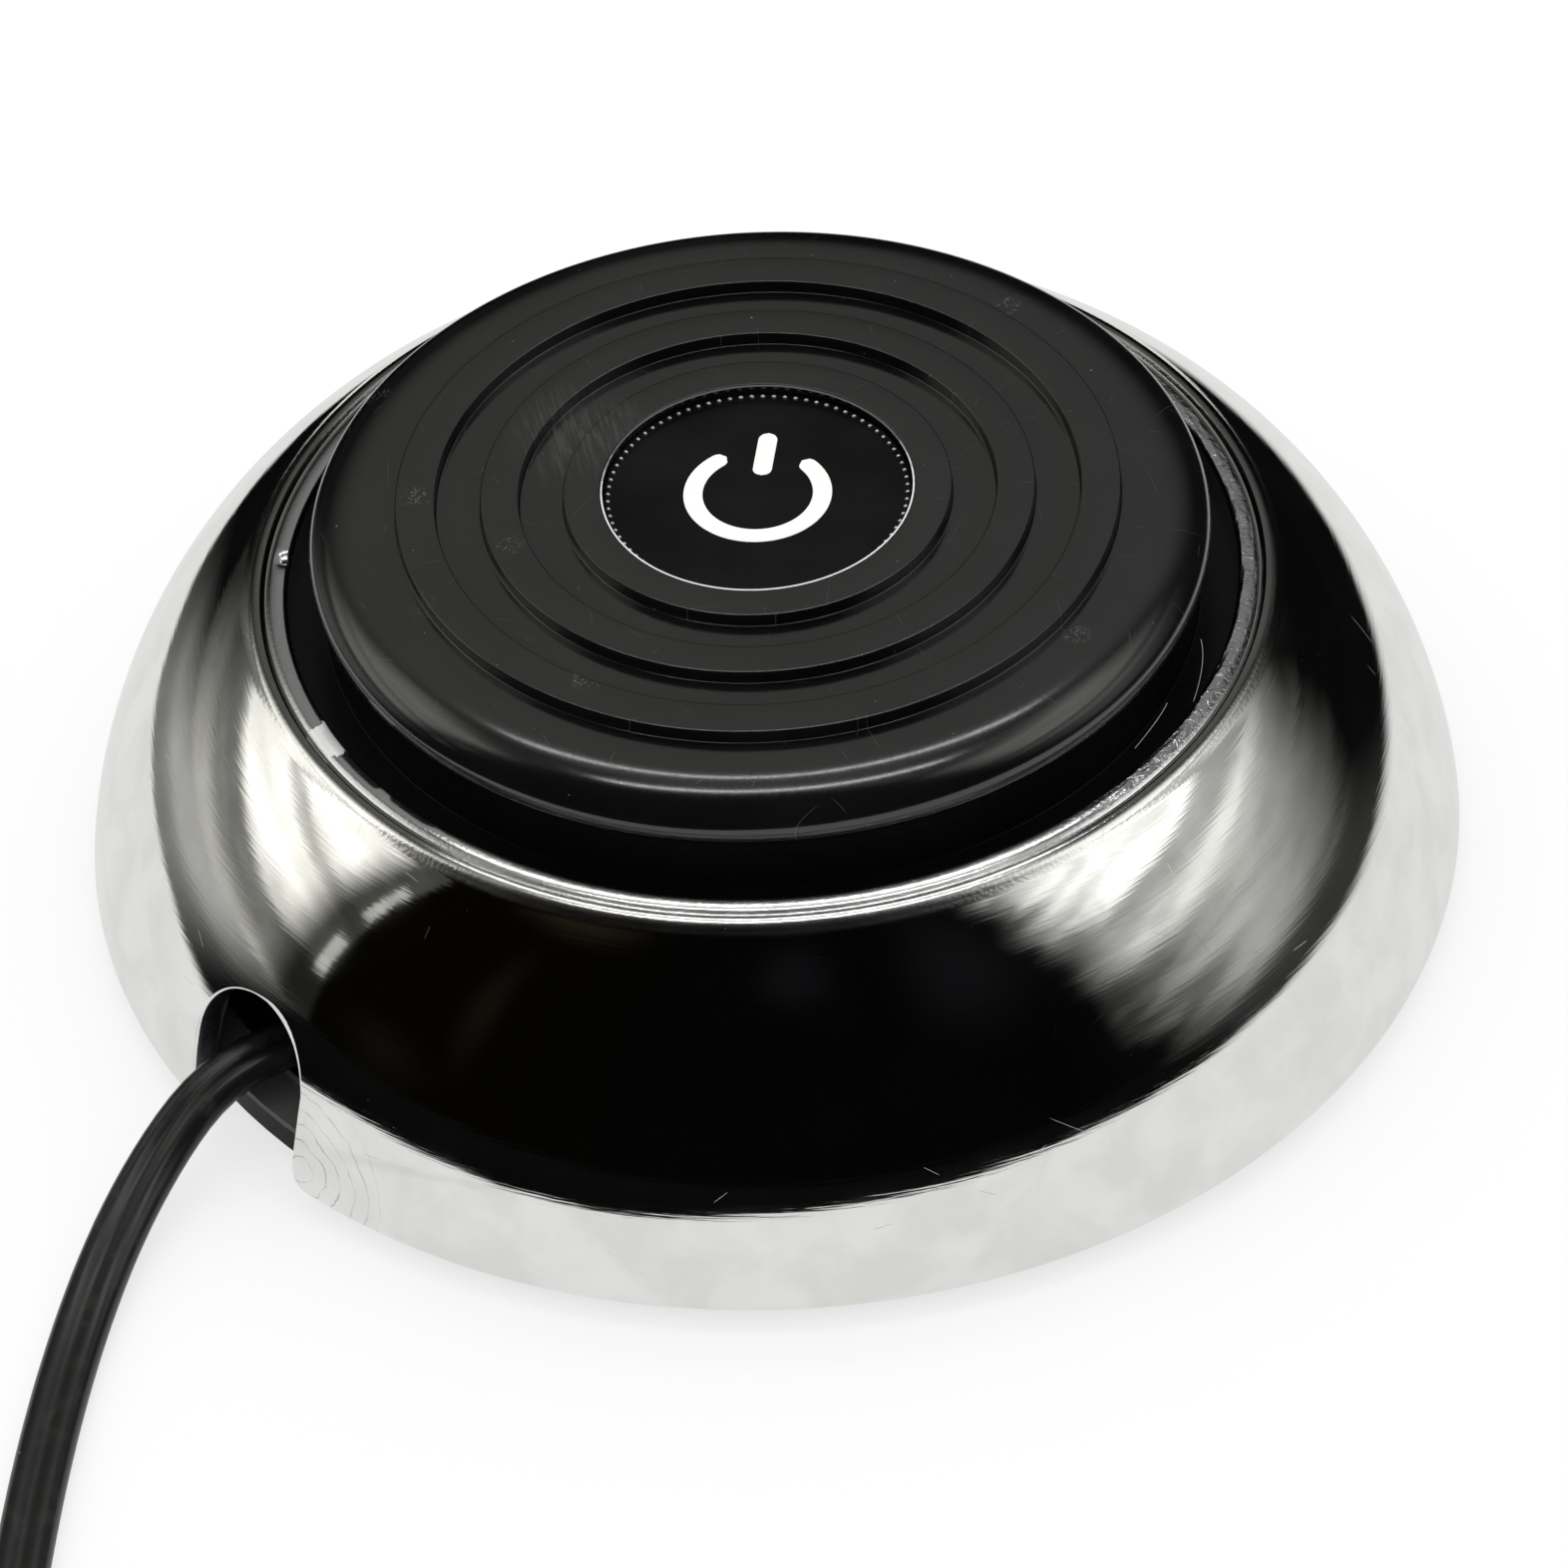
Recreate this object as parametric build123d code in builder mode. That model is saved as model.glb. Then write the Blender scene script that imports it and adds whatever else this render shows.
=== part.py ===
from build123d import *
import math
import os

os.makedirs("parts", exist_ok=True)

# A round foot switch. Millimetres, +Z up, the origin on the floor under the pedal's axis.
# The cord leaves the housing towards -X.

# Housing: a polished metal dome, widest at its lower edge, open under and over
housing_r = 47.0
housing_bottom = 1.2
housing_edge_r = 1.1
wall = 2.0
lip_z = 24.1
lip_t = 1.7
lip_round = 0.4
lip_flat = 1.15
groove_w = 0.7
groove_d = 0.3
bead_w = 1.0
bead_drop = 0.45
dome_fullness = 0.89
dome_shoulder = 0.37
dome_foot = 0.02

# Arch in the housing's edge, where the cord leaves
notch_w = 10.7
notch_top = 12.9
notch_flare = 2.5

# Pedal: a moulded cap with ring bands, held under the lip by its flange
pedal_r = 30.0
opening_gap = 1.8
pedal_wide_above_lip = 3.7
shoulder_w = 3.8
shoulder_h = 2.45
pedal_edge_t = 0.7
pedal_edge_w = 0.7
pedal_wall = 2.0
pedal_top_t = 2.4
flange_catch = 1.2
flange_t = 1.6
flange_room = 0.4
band_rise = 0.92
band_edges = [12.9, 15.84, 18.4, 21.4, 24.05]
travel = 2.5

# Badge: a thin disc glued into the pedal's round recess
badge_r = 10.32
badge_t = 0.35
recess_gap = 0.12
recess_d = 1.0

# Base: a moulded plate that closes the housing from below
base_gap = 0.4
base_bottom = 1.5
ledge_z = 3.9
ledge_w = 2.8
floor_z = 4.7
hole_gap = 0.05

# Feet
foot_r = 5.0
foot_t = 2.2
foot_inset = 11.5
foot_gap = 0.15

# Screws that hold the base to the housing's bosses
boss_r = 4.0
boss_inset = 6.5
boss_count = 3
base_screw_r = 1.45
base_screw_into = 8.0
base_head_r = 2.8
base_head_t = 1.5
slot_w = 0.7
slot_d = 0.7

# Return springs, round the pegs of the pedal and in cups of the base
spring_count = 3
spring_pitch_r = 20.0
spring_r = 3.6
spring_wire = 0.9
spring_turns = 7
spring_seat_h = 2.0
cup_wall = 1.3
cup_h = 5.0
cup_gap = 0.5
peg_gap = 0.4
peg_h = 3.0

# Snap-action switch: its body stands on its bracket, over its three terminals
switch_x = -5.0
switch_l = 19.8
switch_w = 6.4
switch_h = 10.2
switch_lift = 5.0
switch_hole_pitch = 9.5
switch_hole_r = 1.2
switch_hole_h = 3.3
ear_t = 0.9
ear_r = 0.9
pivot_from_end = 1.7
pivot_h = 1.1
pin_r = 0.5
plunger_r = 1.0
plunger_arm = 4.2
plunger_depth = 3.0
plunger_play = 0.06
terminal_t = 0.5
terminal_w = 2.8
terminal_l = 4.0
terminal_hole_r = 0.7
terminal_pitch = 7.6

# Lever of the switch, which slopes up from its pivot and which the pedal's post pushes
lever_t = 0.5
lever_w = 3.6
lever_l = 19.2
lever_slope = 9.5
barrel_r = 0.95
post_r = 2.0
post_tip_r = 3.0
post_play = 0.1

# Ribs under the pedal
rib_count = 3
rib_t = 1.6
rib_h = 2.2

# Bracket of folded sheet, with the screws and nuts that hold the switch to it
bracket_t = 1.2
bracket_h = 13.0
bracket_l = 18.0
bracket_foot = 6.5
bracket_screw_r = 1.25
bracket_screw_into = 2.4
bracket_screw_pitch = 11.0
bracket_head_r = 2.3
bracket_head_t = 1.3
switch_screw_r = 1.1
switch_head_r = 2.0
switch_head_t = 1.3
nut_r = 2.3
nut_t = 1.6
screw_end = 0.6

# Cord: two cores side by side, flat on the floor, with the length that lies in the coil
cord_w = 3.7
cord_t = 1.95
cord_z = 6.7
cord_out = [
    (-28.0, 0.0, 6.7),
    (-38.0, 0.0, 6.7),
    (-46.0, 2.2, 6.7),
    (-53.6, 1.0, 3.2),
    (-62.6, -4.0, 0.975),
    (-74.5, -14.4, 0.975),
    (-88.0, -28.6, 0.975),
    (-104.0, -45.8, 0.975),
    (-114.5, -54.6, 0.975),
]
coil_x = -125.0
coil_y = -34.0
coil_mid_r = 20.5
coil_half_w = 6.3
coil_h = 8.2
coil_round = 1.5
tail_out = [
    (-145.2, -36.0, 7.1),
    (-144.8, -27.0, 7.0),
    (-142.3, -15.0, 6.25),
    (-139.1, -3.0, 6.25),
]
core_r = 0.7
core_pitch = 1.9

# Clamp bar over the cord, on two posts of the base
clamp_x = -35.0
clamp_bar_w = 4.6
clamp_bar_t = 2.2
clamp_pitch = 11.0
clamp_post_r = 2.3
clamp_screw_r = 1.1
clamp_screw_into = 4.6
clamp_head_r = 2.0
clamp_head_t = 1.3
saddle_w = 5.0

# Jack plug on the cord's far end, lying on the floor beside the coil
jack_r = 3.175
sleeve_l = 22.0
insulator_l = 1.2
insulator_r = 2.7
tip_l = 7.3
tip_r = 2.9
tip_neck_r = 2.1
tip_end_r = 1.0
handle_r = 6.25
handle_neck_r = 4.6
handle_l = 30.0
handle_taper_l = 8.0
boot_r = 3.4
boot_end_r = 2.6
boot_l = 11.0
boot_groove_d = 0.5
boot_groove_w = 1.0
boot_groove_count = 4

# Heights and radii that follow from those
lip_inner_r = pedal_r + opening_gap
lip_under = lip_z - lip_t
flange_r = lip_inner_r + flange_catch
groove_in = lip_inner_r + lip_flat
groove_out = groove_in + groove_w
lip_outer_r = groove_out + bead_w
dome_top = lip_z - bead_drop
edge_z = housing_bottom + housing_edge_r
inner_r = housing_r - wall
base_r = inner_r - base_gap
boss_pitch_r = inner_r - boss_inset
foot_pitch_r = base_r - foot_inset
wide_z = lip_z + pedal_wide_above_lip
low_z = wide_z + shoulder_h
raised_z = low_z + band_rise
ceiling_z = low_z - pedal_top_t
side_r = pedal_r - pedal_edge_w
recess_r = badge_r + recess_gap
recess_z = raised_z - recess_d
spring_seat_z = floor_z + spring_seat_h
switch_bottom = floor_z + switch_lift
switch_top = switch_bottom + switch_h
pivot_x = switch_x - switch_l / 2 + pivot_from_end
pivot_z = switch_top + pivot_h
slope = math.radians(lever_slope)
plunger_x = pivot_x + plunger_arm
plunger_top = pivot_z + plunger_arm * math.tan(slope) - lever_t / 2 / math.cos(slope) - plunger_play
post_bottom = pivot_z - pivot_x * math.tan(slope) + lever_t / 2 / math.cos(slope) + post_play


def dome_curve(start, end, fullness, shoulder):
    """Control points of the dome's curve, from the lip down to the edge."""
    width = end[0] - start[0]
    height = start[1] - end[1]
    out = (start[0] + fullness * width, start[1] - shoulder * height)
    foot = (end[0], end[1] + dome_foot * height)
    return [start, out, foot, end]


# Cavity of the housing, with the three bosses left standing in it
cavity_top = lip_z + 1.0
cavity_bottom = housing_bottom - 1.0
ledge_end = flange_r + flange_room
with BuildPart() as cavity:
    with BuildSketch(Plane.XZ):
        with BuildLine():
            Polyline((inner_r, edge_z), (inner_r, cavity_bottom), (0, cavity_bottom), (0, cavity_top))
            Polyline((0, cavity_top), (lip_inner_r, cavity_top), (lip_inner_r, lip_under), (ledge_end, lip_under))
            Bezier(*dome_curve((ledge_end, lip_under), (inner_r, edge_z), dome_fullness, dome_shoulder + 0.05))
        make_face()
    revolve(axis=Axis.Z)
    with BuildSketch(Plane.XY.offset(floor_z)):
        with PolarLocations(boss_pitch_r, boss_count):
            Circle(boss_r)
    extrude(amount=cavity_top - floor_z, mode=Mode.SUBTRACT)

# Housing, with the lip's groove and bead, the notch and the bosses' screw holes
with BuildPart() as housing:
    with BuildSketch(Plane.XZ):
        with BuildLine():
            Polyline((0, lip_z), (groove_in, lip_z), ((groove_in + groove_out) / 2, lip_z - groove_d))
            Line(((groove_in + groove_out) / 2, lip_z - groove_d), (groove_out, lip_z))
            SagittaArc((groove_out, lip_z), (lip_outer_r, dome_top), bead_w * 0.15)
            Bezier(*dome_curve((lip_outer_r, dome_top), (housing_r, edge_z), dome_fullness, dome_shoulder))
            RadiusArc((housing_r, edge_z), (housing_r - housing_edge_r, housing_bottom), housing_edge_r)
            Polyline((housing_r - housing_edge_r, housing_bottom), (0, housing_bottom), (0, lip_z))
        make_face()
    revolve(axis=Axis.Z)
    add(cavity.part, mode=Mode.SUBTRACT)
    lip_edge = housing.edges().filter_by(GeomType.CIRCLE).filter_by(lambda e: abs(e.radius - lip_inner_r) < 0.01)
    fillet(lip_edge.sort_by(Axis.Z)[-1], lip_round)
    notch_side = notch_w / 2
    arch_z = notch_top - notch_side
    flare_z = housing_bottom + notch_flare
    with BuildSketch(Plane.YZ.offset(-housing_r - 1.0)):
        with BuildLine():
            Line((-notch_side, flare_z), (-notch_side, arch_z))
            ThreePointArc((-notch_side, arch_z), (0, notch_top), (notch_side, arch_z))
            Line((notch_side, arch_z), (notch_side, flare_z))
            CenterArc((notch_side + notch_flare, flare_z), notch_flare, 180, 90)
            CenterArc((-notch_side - notch_flare, flare_z), notch_flare, 270, 90)
            Polyline(
                (notch_side + notch_flare, housing_bottom),
                (notch_side + notch_flare, cavity_bottom),
                (-notch_side - notch_flare, cavity_bottom),
                (-notch_side - notch_flare, housing_bottom),
            )
        make_face()
    extrude(amount=housing_r / 2, mode=Mode.SUBTRACT)
    with BuildSketch(Plane.XY.offset(floor_z)):
        with PolarLocations(boss_pitch_r, boss_count):
            Circle(base_screw_r + hole_gap)
    extrude(amount=base_screw_into + 0.5, mode=Mode.SUBTRACT)
housing.part.label = "housing"
export_step(housing.part, "parts/housing.step")

# Pedal: ring bands on its top, a rounded shoulder, a side wall and the flange under the lip
with BuildPart() as pedal:
    with BuildSketch(Plane.XZ):
        with BuildLine():
            top = [(0, recess_z), (recess_r, recess_z), (recess_r, raised_z)]
            level = raised_z
            for edge in band_edges:
                top.append((edge, level))
                level = low_z if level == raised_z else raised_z
                top.append((edge, level))
            top.append((pedal_r - shoulder_w, low_z))
            Polyline(*top)
            EllipticalCenterArc((pedal_r - shoulder_w, wide_z), shoulder_w, shoulder_h, start_angle=0, arc_size=90)
            Polyline(
                (pedal_r, wide_z),
                (pedal_r, wide_z - pedal_edge_t),
                (side_r, wide_z - pedal_edge_t - pedal_edge_w),
                (side_r, lip_under),
                (flange_r, lip_under),
                (flange_r, lip_under - flange_t),
                (side_r - pedal_wall, lip_under - flange_t),
                (side_r - pedal_wall, ceiling_z),
                (0, ceiling_z),
                (0, recess_z),
            )
        make_face()
    revolve(axis=Axis.Z)
    with BuildSketch(Plane.XY.offset(ceiling_z)):
        Circle(post_r)
    extrude(amount=-(ceiling_z - post_bottom))
    with BuildSketch(Plane.XY.offset(ceiling_z)):
        with PolarLocations(spring_pitch_r, spring_count):
            Circle(spring_r - spring_wire / 2 - peg_gap)
    extrude(amount=-peg_h)
    rib_l = side_r - pedal_wall - post_r + 0.5
    with BuildSketch(Plane.XY.offset(ceiling_z)):
        with PolarLocations(post_r - 0.25 + rib_l / 2, rib_count, start_angle=180 / rib_count):
            Rectangle(rib_l, rib_t)
    extrude(amount=-rib_h)
    with BuildSketch(Plane.XZ):
        with BuildLine():
            tip_drop = post_tip_r - math.sqrt(post_tip_r**2 - post_r**2)
            Line((0, post_bottom), (post_r, post_bottom))
            Line((post_r, post_bottom), (post_r, post_bottom + tip_drop))
            RadiusArc((post_r, post_bottom + tip_drop), (0, post_bottom), post_tip_r)
        make_face()
    revolve(axis=Axis.Z, mode=Mode.SUBTRACT)
pedal.part.label = "pedal"
export_step(pedal.part, "parts/pedal.step")

# Badge disc
with BuildPart() as badge:
    with BuildSketch(Plane.XY.offset(recess_z)):
        Circle(badge_r)
    extrude(amount=badge_t)
    fillet(badge.edges().filter_by(GeomType.CIRCLE).sort_by(Axis.Z)[-1], badge_t / 4)
badge.part.label = "badge"
export_step(badge.part, "parts/badge.step")

# Base: plate with a ledge round it, spring cups, the cord's saddle and posts, and screw holes
cup_r = spring_r + spring_wire / 2 + cup_gap + cup_wall
post_top = cord_z + cord_t / 2
saddle_top = cord_z - cord_t / 2
with BuildPart() as base:
    with BuildSketch(Plane.XY.offset(base_bottom)):
        Circle(base_r)
    extrude(amount=ledge_z - base_bottom)
    with BuildSketch(Plane.XY.offset(ledge_z)):
        Circle(base_r - ledge_w)
    extrude(amount=floor_z - ledge_z)
    with BuildSketch(Plane.XY.offset(floor_z)):
        with PolarLocations(spring_pitch_r, spring_count):
            Circle(cup_r)
    extrude(amount=cup_h)
    with BuildSketch(Plane.XY.offset(spring_seat_z)):
        with PolarLocations(spring_pitch_r, spring_count):
            Circle(cup_r - cup_wall)
    extrude(amount=cup_h, mode=Mode.SUBTRACT)
    with BuildSketch(Plane.XY.offset(floor_z)):
        with Locations((clamp_x, -clamp_pitch / 2), (clamp_x, clamp_pitch / 2)):
            Circle(clamp_post_r)
    extrude(amount=post_top - floor_z)
    with BuildSketch(Plane.XY.offset(floor_z)):
        with Locations((clamp_x, 0)):
            Rectangle(clamp_bar_w, saddle_w)
    extrude(amount=saddle_top - floor_z)
    with BuildSketch(Plane.XY.offset(post_top)):
        with Locations((clamp_x, -clamp_pitch / 2), (clamp_x, clamp_pitch / 2)):
            Circle(clamp_screw_r + hole_gap)
    extrude(amount=-clamp_screw_into - 0.2, mode=Mode.SUBTRACT)
    with BuildSketch(Plane.XY.offset(floor_z)):
        bracket_row = switch_w / 2 + bracket_t + bracket_foot / 2
        with Locations((switch_x, bracket_row)):
            with GridLocations(bracket_screw_pitch, 1, 2, 1):
                Circle(bracket_screw_r + hole_gap)
    extrude(amount=-bracket_screw_into - 0.1, mode=Mode.SUBTRACT)
    with BuildSketch(Plane.XY.offset(base_bottom)):
        with PolarLocations(boss_pitch_r, boss_count):
            Circle(base_screw_r + 2 * hole_gap)
    extrude(amount=floor_z - base_bottom, mode=Mode.SUBTRACT)
    with BuildSketch(Plane.XY.offset(base_bottom)):
        with PolarLocations(boss_pitch_r, boss_count):
            Circle(base_head_r + 2 * hole_gap)
    extrude(amount=base_head_t, mode=Mode.SUBTRACT)
    with BuildSketch(Plane.XY.offset(base_bottom)):
        with PolarLocations(foot_pitch_r, 4, start_angle=45):
            Circle(foot_r + foot_gap)
    extrude(amount=foot_t - base_bottom, mode=Mode.SUBTRACT)
base.part.label = "base"
export_step(base.part, "parts/base.step")

# Feet: four rubber pads in the base's round recesses
for i in range(4):
    with BuildPart() as foot:
        with BuildSketch(Plane.XY):
            with PolarLocations(foot_pitch_r, 1, start_angle=45 + 90 * i):
                Circle(foot_r)
        extrude(amount=foot_t)
        chamfer(foot.edges().group_by(Axis.Z)[0], 0.4)
    foot.part.label = f"foot_{i + 1}"
    export_step(foot.part, f"parts/foot_{i + 1}.step")

# Base screws: from below, through the base, into the bosses
with BuildPart() as base_screws:
    with BuildSketch(Plane.XY.offset(base_bottom)):
        with PolarLocations(boss_pitch_r, boss_count):
            Circle(base_head_r)
    extrude(amount=base_head_t)
    with BuildSketch(Plane.XY.offset(base_bottom + base_head_t)):
        with PolarLocations(boss_pitch_r, boss_count):
            Circle(base_screw_r)
    extrude(amount=floor_z - base_bottom - base_head_t + base_screw_into)
    with BuildSketch(Plane.XY.offset(base_bottom)):
        with PolarLocations(boss_pitch_r, boss_count):
            Rectangle(slot_w, 2 * base_head_r)
    extrude(amount=slot_d, mode=Mode.SUBTRACT)
base_screws.part.label = "base_screws"
export_step(base_screws.part, "parts/base_screws.step")

# Return springs: coils with both ends ground flat
spring_h = ceiling_z - spring_seat_z
for i in range(spring_count):
    angle = math.radians(360 / spring_count * i)
    foot_point = Vector(spring_pitch_r * math.cos(angle), spring_pitch_r * math.sin(angle), spring_seat_z)
    with BuildPart() as spring:
        with BuildLine() as coil_line:
            Helix(spring_h / spring_turns, spring_h, spring_r, center=foot_point)
        with BuildSketch(Plane(origin=coil_line.line @ 0, z_dir=coil_line.line % 0)):
            Circle(spring_wire / 2)
        sweep(is_frenet=True)
        with BuildSketch(Plane.XY.offset(spring_seat_z)):
            with Locations((foot_point.X, foot_point.Y)):
                Circle(spring_r + spring_wire)
        extrude(amount=spring_h, mode=Mode.INTERSECT)
    spring.part.label = f"spring_{i + 1}"
    export_step(spring.part, f"parts/spring_{i + 1}.step")

# Switch body, with two ears for the lever's pin, the plunger's hole and two fixing holes
with BuildPart() as switch_body:
    with BuildSketch(Plane.XY.offset(switch_bottom)):
        with Locations((switch_x, 0)):
            Rectangle(switch_l, switch_w)
    extrude(amount=switch_h)
    chamfer(switch_body.edges().filter_by(Axis.Z), 0.4)
    with BuildSketch(Plane.XZ.offset(-lever_w / 2 - 0.1 - ear_t)):
        with Locations((pivot_x, pivot_z)):
            Circle(ear_r)
        with Locations((pivot_x, (pivot_z + switch_top) / 2)):
            Rectangle(2 * ear_r, pivot_z - switch_top)
    extrude(amount=ear_t)
    mirror(about=Plane.XZ)
    with BuildSketch(Plane.XZ.offset(-switch_w / 2)):
        with Locations((pivot_x, pivot_z)):
            Circle(pin_r)
    extrude(amount=switch_w, mode=Mode.SUBTRACT)
    with BuildSketch(Plane.XY.offset(switch_top)):
        with Locations((plunger_x, 0)):
            Circle(plunger_r + hole_gap)
    extrude(amount=-plunger_depth - travel / 2, mode=Mode.SUBTRACT)
    with BuildSketch(Plane.XZ.offset(-switch_w / 2)):
        with Locations((switch_x, switch_bottom + switch_hole_h)):
            with GridLocations(switch_hole_pitch, 1, 2, 1):
                Circle(switch_hole_r)
    extrude(amount=switch_w, mode=Mode.SUBTRACT)
switch_body.part.label = "switch_body"
export_step(switch_body.part, "parts/switch_body.step")

# Plunger under the lever
with BuildPart() as plunger:
    with BuildSketch(Plane.XY.offset(switch_top - plunger_depth)):
        with Locations((plunger_x, 0)):
            Circle(plunger_r)
    extrude(amount=plunger_top - switch_top + plunger_depth)
    fillet(plunger.edges().group_by(Axis.Z)[-1], plunger_r * 0.6)
plunger.part.label = "plunger"
export_step(plunger.part, "parts/plunger.step")

# Lever: a strip with a rolled barrel at its pivot
lever_plane = Plane(
    origin=(pivot_x, 0, pivot_z),
    x_dir=(math.cos(slope), 0, math.sin(slope)),
    z_dir=(-math.sin(slope), 0, math.cos(slope)),
)
with BuildPart() as lever:
    with BuildSketch(lever_plane.offset(-lever_t / 2)):
        with Locations((lever_l / 2, 0)):
            Rectangle(lever_l, lever_w)
    extrude(amount=lever_t)
    fillet(lever.edges().filter_by(lambda e: abs((e % 0).Y) < 0.1 and e.length < 1).sort_by(Axis.X)[-2:], 1.0)
    with BuildSketch(Plane.XZ.offset(-lever_w / 2)):
        with Locations((pivot_x, pivot_z)):
            Circle(barrel_r)
    extrude(amount=lever_w)
    with BuildSketch(Plane.XZ.offset(-lever_w / 2)):
        with Locations((pivot_x, pivot_z)):
            Circle(pin_r + hole_gap)
    extrude(amount=lever_w, mode=Mode.SUBTRACT)
lever.part.label = "lever"
export_step(lever.part, "parts/lever.step")

# Pin through the ears and the barrel
pin_l = lever_w + 0.2 + 2 * ear_t
with BuildPart() as lever_pin:
    with BuildSketch(Plane.XZ.offset(-pin_l / 2)):
        with Locations((pivot_x, pivot_z)):
            Circle(pin_r)
    extrude(amount=pin_l)
lever_pin.part.label = "lever_pin"
export_step(lever_pin.part, "parts/lever_pin.step")

# Terminals: three blades under the switch body
terminal_x = [switch_x - terminal_pitch, switch_x, switch_x + terminal_pitch]
for name, x in zip(["common", "open", "closed"], terminal_x):
    with BuildPart() as terminal:
        with BuildSketch(Plane.XY.offset(switch_bottom)):
            with Locations((x, 0)):
                Rectangle(terminal_t, terminal_w)
        extrude(amount=-terminal_l)
        with BuildSketch(Plane.YZ.offset(x - terminal_t / 2)):
            with Locations((0, switch_bottom - terminal_l + 2 * terminal_hole_r)):
                Circle(terminal_hole_r)
        extrude(amount=terminal_t, mode=Mode.SUBTRACT)
    terminal.part.label = f"terminal_{name}"
    export_step(terminal.part, f"parts/terminal_{name}.step")

# Bracket: a foot on the base and an upright plate behind the switch body
plate_y = switch_w / 2
with BuildPart() as bracket:
    with BuildSketch(Plane.YZ.offset(switch_x - bracket_l / 2)):
        with BuildLine():
            Polyline(
                (plate_y, floor_z),
                (plate_y + bracket_t + bracket_foot, floor_z),
                (plate_y + bracket_t + bracket_foot, floor_z + bracket_t),
                (plate_y + bracket_t, floor_z + bracket_t),
                (plate_y + bracket_t, floor_z + bracket_h),
                (plate_y, floor_z + bracket_h),
                close=True,
            )
        make_face()
    extrude(amount=bracket_l)
    with BuildSketch(Plane.XY.offset(floor_z)):
        with Locations((switch_x, bracket_row)):
            with GridLocations(bracket_screw_pitch, 1, 2, 1):
                Circle(bracket_screw_r + 2 * hole_gap)
    extrude(amount=bracket_t, mode=Mode.SUBTRACT)
    with BuildSketch(Plane.XZ.offset(-plate_y - bracket_t)):
        with Locations((switch_x, switch_bottom + switch_hole_h)):
            with GridLocations(switch_hole_pitch, 1, 2, 1):
                Circle(switch_hole_r)
    extrude(amount=bracket_t, mode=Mode.SUBTRACT)
bracket.part.label = "bracket"
export_step(bracket.part, "parts/bracket.step")

# Bracket screws: down into the base
with BuildPart() as bracket_screws:
    with BuildSketch(Plane.XY.offset(floor_z + bracket_t)):
        with Locations((switch_x, bracket_row)):
            with GridLocations(bracket_screw_pitch, 1, 2, 1):
                Circle(bracket_head_r)
    extrude(amount=bracket_head_t)
    with BuildSketch(Plane.XY.offset(floor_z + bracket_t)):
        with Locations((switch_x, bracket_row)):
            with GridLocations(bracket_screw_pitch, 1, 2, 1):
                Circle(bracket_screw_r)
    extrude(amount=-bracket_t - bracket_screw_into)
    with BuildSketch(Plane.XY.offset(floor_z + bracket_t + bracket_head_t)):
        with Locations((switch_x, bracket_row)):
            with GridLocations(bracket_screw_pitch, 1, 2, 1):
                Rectangle(slot_w, 2 * bracket_head_r)
    extrude(amount=-slot_d, mode=Mode.SUBTRACT)
bracket_screws.part.label = "bracket_screws"
export_step(bracket_screws.part, "parts/bracket_screws.step")

# Switch screws: through the switch body and the bracket, with their nuts behind
screw_reach = switch_w + bracket_t + nut_t + screw_end
with BuildPart() as switch_screws:
    with BuildSketch(Plane.XZ.offset(switch_w / 2)):
        with Locations((switch_x, switch_bottom + switch_hole_h)):
            with GridLocations(switch_hole_pitch, 1, 2, 1):
                Circle(switch_head_r)
    extrude(amount=switch_head_t)
    with BuildSketch(Plane.XZ.offset(switch_w / 2)):
        with Locations((switch_x, switch_bottom + switch_hole_h)):
            with GridLocations(switch_hole_pitch, 1, 2, 1):
                Circle(switch_screw_r)
    extrude(amount=-screw_reach)
    with BuildSketch(Plane.XZ.offset(switch_w / 2 + switch_head_t)):
        with Locations((switch_x, switch_bottom + switch_hole_h)):
            with GridLocations(switch_hole_pitch, 1, 2, 1):
                Rectangle(2 * switch_head_r, slot_w)
    extrude(amount=-slot_d, mode=Mode.SUBTRACT)
switch_screws.part.label = "switch_screws"
export_step(switch_screws.part, "parts/switch_screws.step")

with BuildPart() as switch_nuts:
    with BuildSketch(Plane.XZ.offset(-plate_y - bracket_t)):
        with Locations((switch_x, switch_bottom + switch_hole_h)):
            with GridLocations(switch_hole_pitch, 1, 2, 1):
                RegularPolygon(nut_r, 6)
                Circle(switch_screw_r + hole_gap, mode=Mode.SUBTRACT)
    extrude(amount=-nut_t)
switch_nuts.part.label = "switch_nuts"
export_step(switch_nuts.part, "parts/switch_nuts.step")

# Clamp bar and its screws
with BuildPart() as clamp_bar:
    with BuildSketch(Plane.XY.offset(post_top)):
        with Locations((clamp_x, 0)):
            SlotCenterToCenter(clamp_pitch, clamp_bar_w, rotation=90)
        with Locations((clamp_x, -clamp_pitch / 2), (clamp_x, clamp_pitch / 2)):
            Circle(clamp_screw_r + 2 * hole_gap, mode=Mode.SUBTRACT)
    extrude(amount=clamp_bar_t)
clamp_bar.part.label = "clamp_bar"
export_step(clamp_bar.part, "parts/clamp_bar.step")

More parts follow.
